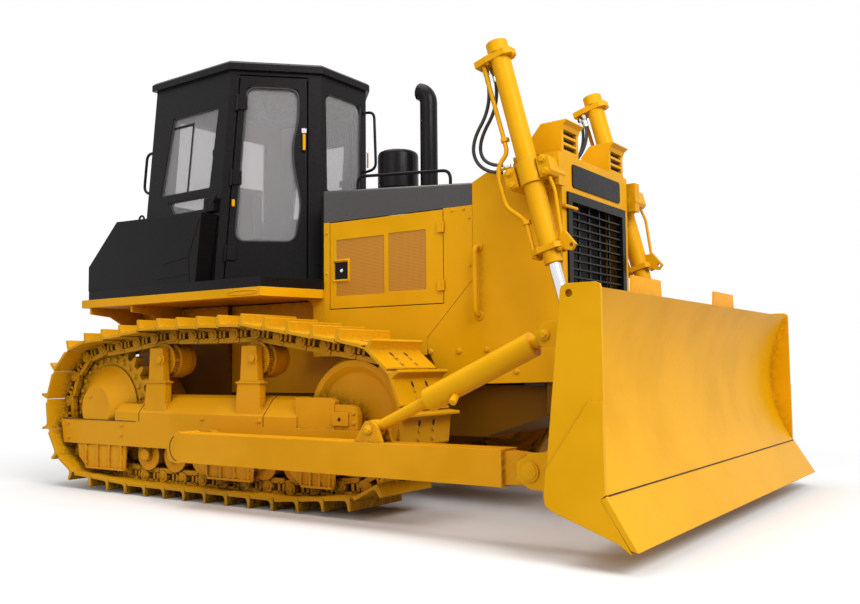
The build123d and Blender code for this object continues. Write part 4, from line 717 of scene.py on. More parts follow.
def pin_line():
    """The closed line of the link pins: spans that touch neighbouring wheels, and arcs round them."""
    following = np.roll(PIN_WHEELS, -1, axis=0)
    step = following[:, :2] - PIN_WHEELS[:, :2]
    heading = np.arctan2(step[:, 1], step[:, 0])
    outward = heading - np.arccos((PIN_WHEELS[:, 2] - following[:, 2]) / np.hypot(step[:, 0], step[:, 1]))
    leave = PIN_WHEELS[:, :2] + PIN_WHEELS[:, 2:] * on_circle(outward)
    turn = (np.roll(outward, -1) - outward) % (2 * np.pi)
    angle = outward[:, None] + turn[:, None] * np.linspace(0, 1, 120)
    arcs = following[:, None, :2] + following[:, None, 2:] * on_circle(angle)
    line = np.concatenate([leave[:, None], arcs], axis=1).reshape(-1, 2)
    return np.vstack([line, line[:1]])


def track_places(side):
    """Middle and axes of each shoe: equal steps along the pin line, the shoe's foot turned outwards."""
    line = pin_line()
    run = np.concatenate([[0], np.cumsum(np.hypot(*np.diff(line, axis=0).T))])
    middle = np.arange(SHOE_COUNT) * run[-1] / SHOE_COUNT

    def along(shift):
        """Points of the line, a shift further on than each shoe's middle."""
        spot = (middle + shift) % run[-1]
        return np.stack([np.interp(spot, run, axis) for axis in line.T], axis=-1)

    place = along(0)
    back = unit(along(-0.002) - along(0.002))
    flat = np.zeros(SHOE_COUNT)
    backward = np.stack([back[:, 0], flat, back[:, 1]], axis=-1)
    outward = np.stack([-back[:, 1], flat, back[:, 0]], axis=-1)
    across = np.broadcast_to([0.0, 1.0, 0.0], (SHOE_COUNT, 3))
    middles = np.stack([place[:, 0], flat + side * TRACK_Y, place[:, 1]], axis=-1)
    return middles, np.stack([backward, outward, across], axis=-1)


def track_shoe():
    """A single-grouser shoe: its rolled section carried across the track."""
    half, wide = 0.0987, 0.255
    section = [
        (-half, 0.043), (half - 0.014, 0.038), (half + 0.024, 0.0350), (half + 0.026, 0.0390),
        (half + 0.003, 0.0425), (half + 0.002, 0.055), (half - 0.006, 0.060), (0.050 - half, 0.060),
        (0.034 - half, 0.064), (0.024 - half, 0.080), (0.019 - half, 0.120), (0.016 - half, 0.1225),
        (0.004 - half, 0.1225), (0.001 - half, 0.120), (-half, 0.060),
    ]
    return prism(section, -wide, wide)


def shoe_holes():
    """Two clearance holes in a shoe's foot, as dark ovals on its face."""
    angle = full_turn(16)
    oval = np.stack([0.020 * np.sin(angle), 0.012 * np.cos(angle)], axis=-1)
    points, polygons = prism(oval, 0.0590, 0.0605)
    return copies((points[:, [0, 2, 1]], polygons), [(-0.030, 0, -0.072), (-0.030, 0, 0.072)])


def shoe_bolts():
    """Bolt heads on a shoe's foot."""
    spots = [(x, 0.0600, z) for x in (0.010, 0.062) for z in (-0.072, 0.072)]
    return bolts(0.011, spots, (0, 1, 0))


def track_link():
    """A pair of links: a rail along the rollers, a flange under the shoe, posts between and a pin boss."""
    middle = SHOE_PITCH / 2
    boss = 0.042 * on_circle(full_turn(28))
    parts = []
    for z in (-LINK_Y, LINK_Y):
        low, high = z - LINK_HALF, z + LINK_HALF
        strips = [
            [(-0.148, -0.057), (0.040, -0.057), (0.048, -0.048), (0.048, -0.024), (-0.148, -0.024)],
            [(-0.148, 0.024), (0.046, 0.024), (0.046, 0.0425), (-0.148, 0.0425)],
            [(-0.148, -0.030), (-0.127, -0.030), (-0.127, 0.030), (-0.148, 0.030)],
            [(-0.107, -0.030), (-0.088, -0.030), (-0.088, 0.030), (-0.107, 0.030)],
        ]
        parts += [prism(np.array(strip) + (middle, 0), low, high) for strip in strips]
        parts.append(prism(boss + (middle, 0), low - BOSS_PROUD, high + BOSS_PROUD))
    return join(*parts)


def track_pin():
    """A link pin with its bushing between the links."""
    middle = SHOE_PITCH / 2
    pin = lathe([(0.020, -0.1075), (0.022, -0.1055), (0.022, 0.1055), (0.020, 0.1075)], 16)
    bushing = lathe([(0.034, -0.054), (0.036, -0.052), (0.036, 0.052), (0.034, 0.054)], 20)
    points, polygons = join(pin, bushing)
    return points + (middle, 0, 0), polygons


def lift_spots(spots, y):
    """Places on a lift cylinder from millimetres forward of its axis and down along it, at a Y."""
    spots = np.array(spots) / 1000
    places = LIFT_PIVOT + spots[:, :1] * LIFT_FORWARD + spots[:, 1:] * LIFT_RUN
    places[:, 1] = y
    return places


def side_wall(x, z, inset=0.025):
    """A place on the cab's side wall, set in from its outer face.

    The wall leans outwards on the way down, in step with depth, and tapers in step with length to the rear.
    """
    lean = CAB_LEAN * (CAB_TOP - z) / CAB_HEIGHT
    taper = REAR_TAPER * (PILLAR_X - lean - x) / REAR_RUN
    return x, inset - (CAB_HALF + lean - taper), z


def door_place(u, h, out):
    """A place on the cab door from its hinge edge, its foot and its outer face."""
    return DOOR_CORNER + np.array([u, h, out]) @ DOOR_AXES


def door_block(u1, h1, u2, h2, out1, out2):
    """A block on the cab door, square to it."""
    points, polygons = box((u1, h1, out1), (u2, h2, out2))
    return DOOR_CORNER + points @ DOOR_AXES, polygons


def window_seal(corners, reach=SEAL_CORNER, steps=5):
    """A rubber bead along a window's edge: a round section carried round its bent corners."""
    return tube(bent(corners, reach, steps, closed=True), SEAL_RADIUS, 8, closed=True)


def surround(outer, inner, depth):
    """A flat frame between two closed lines of as many points, with a depth."""
    rings = np.stack([outer, inner, np.add(inner, depth), np.add(outer, depth)])
    return rings.reshape(-1, 3), [grid_faces(4, len(outer), close_rows=True)]


def mesh_points(mesh):
    """A mesh's points as an array."""
    points = np.empty(len(mesh.vertices) * 3)
    mesh.vertices.foreach_get("co", points)
    return points.reshape(-1, 3)


def padded_block(name, low, high, grooved):
    """A cushion: a block a little small is remeshed, blown up as cloth, and sewn with two channels.

    Each point's move is cut at a cap; a channel is a bell-shaped dip across the grooved axis's high face.
    """
    low, high = np.array(low) + PAD_INSET, np.array(high) - PAD_INSET
    piece = add_piece(name, box(low, high), "vinyl")
    soften(piece, 0.020, 3)
    cells = piece.modifiers.new("cells", "REMESH")
    cells.mode = "VOXEL"
    cells.voxel_size = PAD_CELL
    cells.use_smooth_shade = True
    view = bpy.context.evaluated_depsgraph_get()
    mesh = bpy.data.meshes.new_from_object(piece.evaluated_get(view))
    piece.modifiers.clear()
    piece.data = mesh
    start = mesh_points(mesh)
    end = start
    cloth = piece.modifiers.new("stuffing", "CLOTH")
    cloth.settings.use_pressure = True
    cloth.settings.uniform_pressure_force = PAD_PRESSURE
    cloth.settings.effector_weights.gravity = 0.0
    cloth.point_cache.frame_start = 1
    cloth.point_cache.frame_end = PAD_STEPS
    for step in range(PAD_STEPS):
        bpy.context.scene.frame_set(step + 1)
    view = bpy.context.evaluated_depsgraph_get()
    end = mesh_points(piece.evaluated_get(view).data)
    piece.modifiers.clear()
    bpy.context.scene.frame_set(1)
    move = end - start
    reach = np.linalg.norm(move, axis=1, keepdims=True)
    end = start + move * np.minimum(1.0, PAD_MOVE / np.maximum(reach, 1e-9))
    upper = end[:, grooved] > (low + high)[grooved] / 2
    dip = sum(np.exp(-(((end[:, 1] - y) / CHANNEL_WIDTH) ** 2)) for y in CHANNELS_Y)
    end[:, grooved] -= CHANNEL_DEPTH * dip * upper
    mesh.vertices.foreach_set("co", end.ravel())
    mesh.polygons.foreach_set("use_smooth", np.ones(len(mesh.polygons), bool))
    mesh.update()
    finer = piece.modifiers.new("finer", "SUBSURF")
    finer.levels = 1
    finer.render_levels = 1
    return piece


def make_floor(size):
    """A square floor, pale where it is seen and darker for bounced light, that fades to white far away."""
    mesh = bpy.data.meshes.new("studio_floor")
    corners = np.array([(-size, -size, 0), (size, -size, 0), (size, size, 0), (-size, size, 0)])
    mesh.from_pydata(corners.tolist(), [], [(0, 1, 2, 3)])
    floor = bpy.data.objects.new("studio_floor", mesh)
    bpy.context.scene.collection.objects.link(floor)
    material, tree, shader, coords = new_material("pale_floor")
    shader.inputs["Roughness"].default_value = 0.7
    seen = seen_rays(tree)
    pale = mix_colour(tree, noise(tree, coords, 0.6, 2.0), *FLOOR_TONES)
    link(tree, mix_colour(tree, seen, FLOOR_BOUNCE, pale), shader.inputs["Base Color"])
    away = node(tree, "ShaderNodeVectorMath", operation="LENGTH")
    link(tree, coords, away.inputs[0])
    fade = math_node(tree, "MULTIPLY", ramp(tree, away.outputs["Value"], *FLOOR_FADE), seen)
    white = node(tree, "ShaderNodeEmission", Strength=1.0)
    blend = tree.nodes.new("ShaderNodeMixShader")
    for place, source in enumerate((fade, shader.outputs[0], white.outputs[0])):
        link(tree, source, blend.inputs[place])
    link(tree, blend.outputs[0], tree.nodes["Material Output"].inputs["Surface"])
    mesh.materials.append(material)


def make_world():
    """A white world, at full strength where it is seen and softer as light."""
    world = bpy.data.worlds.new("studio_world")
    bpy.context.scene.world = world
    world.use_nodes = True
    tree = world.node_tree
    sky = tree.nodes["Background"]
    strength = node(tree, "ShaderNodeMapRange", **{"To Min": SKY_LIGHT, "To Max": 1.0})
    link(tree, seen_rays(tree), strength.inputs["Value"])
    link(tree, strength.outputs["Result"], sky.inputs["Strength"])
    sky.inputs["Color"].default_value = (1.0, 1.0, 1.0, 1.0)


def make_softbox(name, place, aim, watts, width):
    """A square soft lamp at a place, turned to an aim."""
    lamp = bpy.data.lights.new(name, "AREA")
    lamp.energy = watts
    lamp.size = width
    made = bpy.data.objects.new(name, lamp)
    made.location = place
    made.rotation_mode = "QUATERNION"
    made.rotation_quaternion = (Vector(aim) - Vector(place)).to_track_quat("-Z", "Y")
    bpy.context.scene.collection.objects.link(made)


def make_camera(stage):
    """The photograph's camera: its axes turned by azimuth and pitch, then rolled about the view."""
    camera = bpy.data.cameras.new("photo_camera")
    camera.lens = stage.lens
    camera.sensor_width = 36.0
    camera.sensor_fit = "HORIZONTAL"
    camera.clip_end = 200.0
    eye = bpy.data.objects.new("photo_camera", camera)
    turn, rise, roll = stage.azimuth, stage.pitch, stage.roll
    ahead = Vector((-math.sin(turn) * math.cos(rise), math.cos(turn) * math.cos(rise), math.sin(rise)))
    across = Vector((math.cos(turn), math.sin(turn), 0.0))
    above = across.cross(ahead)
    right = across * math.cos(roll) + above * math.sin(roll)
    up = above * math.cos(roll) - across * math.sin(roll)
    pose = Matrix((right, up, -ahead)).transposed().to_4x4()
    pose.translation = Vector(stage.camera_place)
    eye.matrix_world = pose
    bpy.context.scene.collection.objects.link(eye)
    bpy.context.scene.camera = eye


class DOZER_OT_materials(bpy.types.Operator):
    """Build the shared paint film and every finish, and paint the CAD pieces."""

    bl_idname = "dozer.materials"
    bl_label = "Paint and finishes"

    def execute(self, context):
        finish = context.scene.dozer_finish
        film = make_paint_group()
        for key, values in ENAMELS.items():
            MATERIALS[key] = paint_material(film, finish, *values)
        for key, values in GRAINS.items():
            MATERIALS[key] = grained_material(*values)
        MATERIALS["glass"] = glass_material("tinted_glass", tuple(finish.glass))
        MATERIALS["chrome"] = chrome_material("hard_chrome")
        MATERIALS["screen"] = screen_material("perforated_yellow", tuple(finish.yellow))
        for part in frame["record"]["subparts"]:
            paint_node(part["node"], SLOT_FINISH[part["material_slot"]])
        for key, names in NODE_FINISH.items():
            for name in names:
                paint_node(name, key)
        return {"FINISHED"}


class DOZER_OT_stage(bpy.types.Operator):
    """Floor, soft lights and the camera at the photograph's angle."""

    bl_idname = "dozer.stage"
    bl_label = "Studio and camera"

    def execute(self, context):
        stage = context.scene.dozer_stage
        context.scene.view_settings.view_transform = "Standard"
        make_floor(stage.floor_size)
        make_world()
        for name, values in SOFTBOXES.items():
            make_softbox(name, *values)
        make_camera(stage)
        return {"FINISHED"}


class DOZER_OT_hoses(bpy.types.Operator):
    """Hydraulic hoses between the lift cylinders' top flanges and their yokes, with crimped ends."""

    bl_idname = "dozer.hoses"
    bl_label = "Hoses"

    def execute(self, context):
        trim = context.scene.dozer_trim
        ferrule = lathe([(0.0150, -0.004), (0.0165, 0.0), (0.0165, 0.046), (0.0125, 0.052)], 18)
        nut = lathe([(0.0205, -0.034), (0.0215, -0.031), (0.0215, -0.010), (0.0205, -0.007)], 6)
        for side, name in SIDES:
            for label, route, length in HOSES:
                points = np.array(route) * (1, side, 1)
                curve = bpy.data.curves.new(f"{label}_{name}_line", "CURVE")
                curve.dimensions = "3D"
                spline = curve.splines.new("NURBS")
                spline.points.add(len(points) - 1)
                spline.points.foreach_set("co", np.column_stack([points, np.ones(len(points))]).ravel())
                spline.order_u = 3
                spline.use_endpoint_u = True
                curve.resolution_u = 16
                curve.bevel_depth = trim.hose_radius
                curve.bevel_resolution = 4
                curve.use_fill_caps = True
                curve.materials.append(MATERIALS["rubber"])
                line = bpy.data.objects.new(f"{label}_line_{name}", curve)
                context.scene.collection.objects.link(line)
                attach(line, f"lift_cylinder_{name}")
                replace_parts(line, f"{label}_{name}")
                places = points[[0, -1]]
                turns = facing([points[1] - points[0], points[-2] - points[-1]])
                crimps = copies(join(ferrule, nut), places, turns)
                ends = add_piece(f"{label}_crimps_{name}", crimps, "chrome", f"lift_cylinder_{name}")
        return {"FINISHED"}


class DOZER_OT_tracks(bpy.types.Operator):
    """Shoes, links, pins and bolts along the closed line of the link pins, one loop a side."""

    bl_idname = "dozer.tracks"
    bl_label = "Tracks"

    def execute(self, context):
        pieces = {
            "track_shoes": (track_shoe(), "track"), "track_links": (track_link(), "track"),
            "track_pins": (track_pin(), "track"), "shoe_bolts": (shoe_bolts(), "track"),
            "shoe_holes": (shoe_holes(), "pit"),
        }
        for side, name in SIDES:
            places, turns = track_places(side)
            for label, (solid, material) in pieces.items():
                piece = add_piece(f"{label}_{name}", copies(solid, places, turns), material)
                if label == "track_shoes":
                    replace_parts(piece, f"track_{name}")
        return {"FINISHED"}


class DOZER_OT_wheels(bpy.types.Operator):
    """Flanges and end caps on the rollers, seals and rims on the carriers, bolts on the sprockets."""

    bl_idname = "dozer.wheels"
    bl_label = "Wheels"

    def execute(self, context):
        outer = [(0.080, -1.053), (0.113, -1.053), (0.116, -1.047), (0.110, -1.039), (0.080, -1.039)]
        inner = [(radius, y + 0.212) for radius, y in outer]
        flanges = [across_bar(flange, x, ROLLER_Z) for x in ROLLERS for flange in (outer, inner)]
        add_piece("roller_flanges", both_sides(join(*flanges)), "frame")
        cap = [(0.044, -1.070), (0.044, -1.086), (0.036, -1.092)]
        caps = [across_bar(cap, x, ROLLER_Z, 24) for x in ROLLERS]
        corners = full_turn(4) + np.pi / 4
        spots = np.vstack([round_y(x, -1.076, ROLLER_Z, 0.031, corners) for x in ROLLERS])
        caps.append(bolts(0.008, spots, OUT_RIGHT))
        add_piece("roller_caps", both_sides(join(*caps)), "frame")
        seal = [(0.095, -1.032), (0.1095, -1.032), (0.1095, -0.992), (0.095, -0.992)]
        groove = [(0.100, -0.968), (0.1268, -0.968), (0.1268, -0.942), (0.100, -0.942)]
        rim = [(0.090, -1.0445), (0.114, -1.0445), (0.118, -1.040), (0.118, -1.036), (0.090, -1.036)]
        ridge = [
            (0.090, -0.992), (0.126, -0.992), (0.130, -0.988),
            (0.130, -0.974), (0.126, -0.970), (0.090, -0.970),
        ]
        rings = {"carrier_seals": ((seal, groove), "rubber"), "carrier_rims": ((rim, ridge), "frame")}
        for name, (profiles, material) in rings.items():
            turned = join(*(across_bar(profile, x, CARRIER_Z) for x in CARRIERS for profile in profiles))
            add_piece(name, both_sides(turned), material)
        ring = round_y(SPROCKET_X, -0.976, SPROCKET_Z, 0.365, full_turn(27))
        add_piece("sprocket_bolts", both_sides(bolts(0.016, ring, OUT_RIGHT)), "track")
        return {"FINISHED"}


class DOZER_OT_lift_trim(bpy.types.Operator):
    """Steel pipes, clamps and bolts on the lift cylinders."""

    bl_idname = "dozer.lift_trim"
    bl_label = "Lift cylinder trim"

    def execute(self, context):
        trim = context.scene.dozer_trim
        side_route = [
            (1.262, -0.714, 2.715), (1.402, -0.716, 2.225), (1.424, -0.718, 2.140), (1.368, -0.722, 2.070),
            (1.364, -0.722, 1.995), (1.416, -0.720, 1.815), (1.536, -0.714, 1.728), (1.598, -0.712, 1.500),
        ]
        front_route = [
            (1.690, -0.700, 1.965), (1.722, -0.702, 1.890), (1.757, -0.702, 1.640), (1.745, -0.694, 1.600),
        ]
        pipes = join(tube(bent(side_route, 0.034), trim.pipe_radius), tube(bent(front_route, 0.022), 0.010))
        clamp = lathe([(0.019, -0.014), (0.021, -0.011), (0.021, 0.011), (0.019, 0.014)], 20)
        clamp_spots = [(1.404, -0.716, 2.218), (1.540, -0.7138, 1.713)]
        clamps = copies(clamp, clamp_spots, facing([LIFT_RUN, LIFT_RUN]))
        straps = copies(
            box((-0.008, -0.016, -0.012), (0.020, 0.016, 0.012)),
            [(1.410, -0.714, 2.218), (1.546, -0.712, 1.713)],
            np.stack([LIFT_AXES, LIFT_AXES]),
        )
        yoke = bolts(0.017, lift_spots([(-111, -38), (-111, 38), (111, -38), (111, 38)], -0.732), OUT_RIGHT)
        under = lift_spots([(-92, 493), (-92, 493), (70, 493), (70, 493)], [-0.717, -0.657, -0.717, -0.657])
        foot_bolts = bolts(0.013, under, LIFT_RUN)
        top = lift_spots([(-140, -738), (-70, -738), (84, -738)], [-0.655, -0.727, -0.687])
        top_bolts = bolts(0.011, top, LIFT_RUN)
        for side, name in SIDES:
            body = f"lift_cylinder_{name}"
            add_piece(f"lift_pipes_{name}", on_side(pipes, side), "yellow", body)
            held = add_piece(f"lift_clamps_{name}", on_side(join(clamps, straps), side), "yellow", body)
            soften(held, 0.002)
            heads = join(yoke, foot_bolts, top_bolts)
            add_piece(f"lift_bolts_{name}", on_side(heads, side), "yellow", body)
        return {"FINISHED"}


class DOZER_OT_hood_trim(bpy.types.Operator):
    """Handrails, exhaust elbow, air cleaner, guard handles, bolts, grille peg, hull shields and lamp slots."""

    bl_idname = "dozer.hood_trim"
    bl_label = "Hood trim"

    def execute(self, context):
        trim = context.scene.dozer_trim
        rail = [(0.053, -0.42, 2.09), (0.053, -0.42, 2.2199), (0.829, -0.42, 2.1651), (0.829, -0.42, 2.04)]
        rails = both_sides(tube(bent(rail, 0.062, 10), trim.rail_radius, 14))
        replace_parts(add_piece("hood_rails", rails, "black"), "handrails")
        angle = np.radians(np.linspace(0, 76, 16))
        elbow = round_y(0.275, 0.0, 2.786, 0.10, angle)
        path = np.vstack([[(0.375, 0, 2.06), (0.375, 0, 2.40)], elbow])
        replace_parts(add_piece("exhaust_elbow", open_pipe(path, 0.063, 0.057, 2), "black"), "exhaust_stack")
        bowl = [
            (0.152, 2.085), (0.152, 2.172), (0.149, 2.176), (0.146, 2.178), (0.146, 2.186), (0.150, 2.189),
            (0.150, 2.425), (0.147, 2.442), (0.139, 2.455), (0.122, 2.464), (0.080, 2.468), (0.012, 2.469),
        ]
        points, polygons = lathe(bowl, 56)
        cleaner = add_piece("air_cleaner_bowl", (points + (0.098, 0, 0), polygons), "black")
        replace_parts(cleaner, "air_cleaner")
        handle = [
            (1.088, -0.492, 1.632), (1.088, -0.552, 1.622), (1.088, -0.552, 1.209), (1.088, -0.492, 1.199),
        ]
        foot = lathe([(0.030, -0.004), (0.030, 0.006), (0.026, 0.009)], 20)
        ends = [(1.088, GUARD_Y, 1.632), (1.088, GUARD_Y, 1.199)]
        feet = copies(foot, ends, facing([OUT_RIGHT, OUT_RIGHT]))
        add_piece("guard_handles", both_sides(join(tube(bent(handle, 0.030), 0.015), feet)), "yellow")
        large = [(0.933, 0.980), (1.137, 0.987), (0.934, 0.844), (1.346, 0.852), (0.717, 0.979)]
        small = [
            (-0.162, 1.828), (-0.163, 1.543), (0.893, 1.881),
            (0.980, 1.883), (1.021, 1.824), (1.021, 1.518),
        ]
        heads = [
            bolts(radius, [(x, GUARD_Y, z) for x, z in spots], OUT_RIGHT)
            for radius, spots in ((0.013, large), (0.007, small))
        ]
        add_piece("hood_bolts", both_sides(join(*heads)), "yellow")
        peg = tube([(1.684, -0.505, 1.83), (1.684, -0.42, 1.83), (1.684, -0.336, 1.83)], 0.011)
        add_piece("grille_peg", peg, "yellow")
        shields = join(
            box((-1.198, -0.416, 0.70), (0.860, -0.404, 1.360)),
            box((-2.260, -0.464, 1.20), (-1.198, -0.452, 1.360)),
        )
        soften(add_piece("hull_side_shields", both_sides(shields), "frame"), 0.003)
        slots = [box((1.579, -0.4395, z), (1.634, -0.2655, z + 0.029)) for z in (2.1821, 2.2281, 2.2741)]
        add_piece("lamp_slot_liners", both_sides(join(*slots)), "pit")
        return {"FINISHED"}


class DOZER_OT_engine_doors(bpy.types.Operator):
    """Perforated screens, latch plates, rims and buttons on the engine doors."""

    bl_idname = "dozer.engine_doors"
    bl_label = "Engine door trim"

    def execute(self, context):
        rear = [
            (-0.077, 1.378), (0.343, 1.378), (0.343, 1.772), (-0.077, 1.772),
            (-0.077, 1.637), (0.047, 1.637), (0.047, 1.473), (-0.077, 1.473),
        ]
        front = [(0.379, 1.386), (0.685, 1.386), (0.685, 1.780), (0.379, 1.780)]
        screens = join(prism(rear, 0.4942, 0.4962), prism(front, 0.4942, 0.4962))
        plate = prism([(-0.094, 1.496), (0.024, 1.496), (0.024, 1.614), (-0.094, 1.614)], 0.484, 0.490)
        button = lathe([(0.013, 0.488), (0.013, 0.494), (0.010, 0.497), (0.004, 0.4975)], 20)
        ring = [
            (-0.106, 1.484, 0.501), (0.036, 1.484, 0.501), (0.036, 1.626, 0.501), (-0.106, 1.626, 0.501),
        ]
        rim = tube(bent(ring, 0.014, 5, closed=True), 0.006, 8, closed=True)
        for side, name in SIDES:
            body = f"engine_door_{name}"
            pieces = [
                ("door_screens", screens, "screen", (0, 0, 0)),
                ("latch_plate", plate, "black", (0, 0, 0)),
                ("latch_button", button, "chrome", (-0.035, 0, 1.555)),
                ("latch_rim", rim, "yellow", (0, 0, 0)),
            ]
            for label, (points, polygons), material, shift in pieces:
                turned = points[:, [0, 2, 1]] * (1, side, 1) + shift
                add_piece(f"{label}_{name}", (turned, polygons), material, body)
        return {"FINISHED"}


class DOZER_OT_cab_trim(bpy.types.Operator):
    """Window seals, bars and masks, grab rails, catches, door handles, lever knobs, seams and slots."""

    bl_idname = "dozer.cab_trim"
    bl_label = "Cab trim"

    def execute(self, context):
        trim = context.scene.dozer_trim
        bars = [
            tube([side_wall(-1.545, 2.745), side_wall(-1.307, 2.745)], 0.011, 8),
            tube([side_wall(-1.307, 2.755), side_wall(-1.342, 2.215)], 0.009, 8),
            tube([side_wall(-1.342, 2.225), side_wall(-1.322, 2.205)], 0.012, 8),
        ]
        add_piece("side_window_bars", both_sides(join(*bars)), "black")
        windows = [
            [(-1.640, 2.2146), (-1.065, 2.2146), (-1.000, 2.8175), (-1.530, 2.8175)],
            [(-1.479, 2.058), (-1.122, 2.058), (-1.120, 2.1566), (-1.547, 2.1566)],
        ]
        seals = [window_seal([side_wall(x, z, 0.015) for x, z in window]) for window in windows]
        add_piece("side_window_seals", both_sides(join(*seals)), "rubber")
        front = [
            (-0.432, -0.200, 2.182), (-0.432, 0.200, 2.182),
            (-0.432, 0.215, 2.957), (-0.432, -0.215, 2.957),
        ]
        rear = [
            (-1.7755, -0.520, 2.182), (-1.7755, 0.520, 2.182),
            (-1.746, 0.490, 2.8775), (-1.746, -0.490, 2.8775),
        ]
        add_piece("end_window_seals", join(window_seal(front), window_seal(rear)), "rubber")
        wide, narrow = (bent(front, reach, 9, closed=True) for reach in (0.020, 0.120))
        add_piece("front_window_mask", surround(wide, narrow, (-0.006, 0, 0)), "black")
        heights = (0.012, 0.775, 1.538)
        gaps = [
            [door_place(-0.0419 + 0.07025 * h, h, -0.055) for h in heights],
            [door_place(0.5612, h, -0.055) for h in heights],
            [door_place(u, 1.545, -0.055) for u in (0.066, 0.31, 0.5612)],
        ]
        add_piece("door_seals", both_sides(join(*(tube(gap, 0.013, 8) for gap in gaps))), "rubber")
        rear_rail = [
            (-1.745, -0.685, 2.600), (-1.886, -0.685, 2.594),
            (-1.920, -0.685, 2.300), (-1.765, -0.685, 2.240),
        ]
        front_rail = [
            (-0.405, 0.255, 2.902), (-0.322, 0.255, 2.895), (-0.306, 0.255, 2.440), (-0.405, 0.255, 2.425),
        ]
        grabs = join(
            both_sides(tube(bent(rear_rail, 0.05), trim.rail_radius)),
            tube(bent(front_rail, 0.055), trim.rail_radius),
        )
        add_piece("cab_grab_rails", grabs, "black")
        catch = box((-1.062, -0.824, 2.025), (-0.968, -0.775, 2.130))
        stay = tube([(-1.000, -0.815, 2.075), (-0.962, -0.820, 2.110), (-0.952, -0.812, 2.150)], 0.012, 10)
        window_catch = box((-1.062, -0.752, 2.450), (-1.024, -0.700, 2.505))
        soften(add_piece("cab_catches", both_sides(join(catch, stay, window_catch)), "black"), 0.006)
        grip = [
            (0.012, -0.02), (0.020, -0.012), (0.024, 0.004), (0.021, 0.018), (0.010, 0.027), (0.002, 0.028),
        ]
        knob = lathe(grip, 20)
        lean = unit(np.array([[-0.15, 0.0, 0.17]]))[0]
        knobs = copies(knob, [(-0.747, -0.06, 2.272), (-0.747, 0.06, 2.272)], facing([lean, lean]))
        add_piece("lever_knobs", knobs, "rubber")
        seams = [
            [(-1.075, -0.951, 1.503), (-1.087, -0.951, 1.691), (-0.975, -0.951, 1.955)],
            [(-1.370, -0.951, 1.650), (-1.087, -0.951, 1.690)],
            [(-1.420, -0.951, 1.545), (-1.080, -0.951, 1.566)],
        ]
        ridges = join(*(tube(path, 0.0035, 6) for path in seams))
        add_piece("tank_seams", both_sides(ridges), "black")
        angle = full_turn(24)
        eye = round_y(-1.80, -0.80, 2.048, 0.028, angle)
        add_piece("tank_lifting_eyes", both_sides(tube(eye, 0.008, 8, closed=True)), "black")
        ahead, rise = np.cos(angle), np.sin(angle)
        slot = np.stack([-0.49 + 0.150 * ahead, -0.9935 - 0.0031 * ahead, 1.398 + 0.015 * rise], axis=-1)
        add_piece("step_slots", both_sides(tube(slot, 0.0045, 8, closed=True)), "yellow")
        for side, name in SIDES:
            body = f"cab_door_{name}"
            edge, sunk = ([door_place(u, h, out) for u, h in DOOR_WINDOW] for out in (-0.006, -0.012))
            outer, inner = (bent(sunk, reach, 6, closed=True) for reach in (SEAL_CORNER, 0.078))
            pieces = [
                ("window_mask", surround(outer, inner, -0.004 * DOOR_AXES[2]), "black"),
                ("window_seal", window_seal(edge, 0.078, 6), "rubber"),
                ("handle_base", door_block(0.518, 0.985, 0.550, 1.150, 0.000, 0.012), "black"),
                ("handle_head", door_block(0.516, 1.118, 0.552, 1.154, 0.010, 0.034), "chrome"),
                ("handle_lever", door_block(0.524, 0.992, 0.545, 1.112, 0.022, 0.034), "edge"),
                ("lock_tab", door_block(0.012, 0.560, 0.034, 0.612, 0.000, 0.020), "edge"),
            ]
            for label, solid, material in pieces:
                piece = add_piece(f"cab_{label}_{name}", on_side(solid, side), material, body)
                if not label.startswith("window"):
                    soften(piece, 0.003)
        return {"FINISHED"}


class DOZER_OT_frame_trim(bpy.types.Operator):
    """Bolts, axle ends, idler plates and seam lines on the track frames."""

    bl_idname = "dozer.frame_trim"
    bl_label = "Track frame trim"

    def execute(self, context):
        plate = box((0.398, -1.116, 0.531), (0.530, -1.103, 0.616))
        soften(add_piece("idler_plates", both_sides(plate), "frame"), 0.004)
        face = [
            (-1.585, 0.480), (-1.585, 0.410), (-0.731, 0.548),
            (-0.200, 0.545), (-2.230, 0.480), (-2.215, 0.375),
        ]
        sides = bolts(0.011, [(x, -1.120, z) for x, z in face], OUT_RIGHT)
        blocks = bolts(0.010, [(0.570, -1.105, 0.612), (0.570, -1.105, 0.552)], OUT_RIGHT)
        axles = bolts(0.026, [(-1.179, -1.110, 0.950), (-0.267, -1.110, 0.950)], OUT_RIGHT)
        dome = bolts(0.010, [(-1.965, -1.112, 0.683)], OUT_RIGHT)
        lids = bolts(0.009, [(-0.469, -1.052, 0.660), (-1.150, -1.052, 0.660)], (0, -0.76, 0.65))
        shoulders = [(x + step, -1.082, 0.797) for x in CARRIERS for step in (-0.102, 0.098)]
        flanges = bolts(0.010, shoulders, (0, 0, 1))
        heads = join(sides, blocks, axles, dome, lids, flanges)
        add_piece("frame_bolts", both_sides(heads), "frame")
        lines = [
            [(-2.295, -1.1205, 0.5105), (-1.560, -1.1205, 0.5105), (-1.430, -1.1205, 0.5105)],
            [(-0.165, y, z) for y, z in COVER_LINE],
            [(-1.395, y, z) for y, z in COVER_LINE],
        ]
        hole = across_bar([(0.012, -1.1168), (0.012, -1.1155)], 0.463, 0.572, 20)
        seams = join(*(tube(line, 0.0025, 6) for line in lines), hole)
        add_piece("frame_seams", both_sides(seams), "pit")
        return {"FINISHED"}


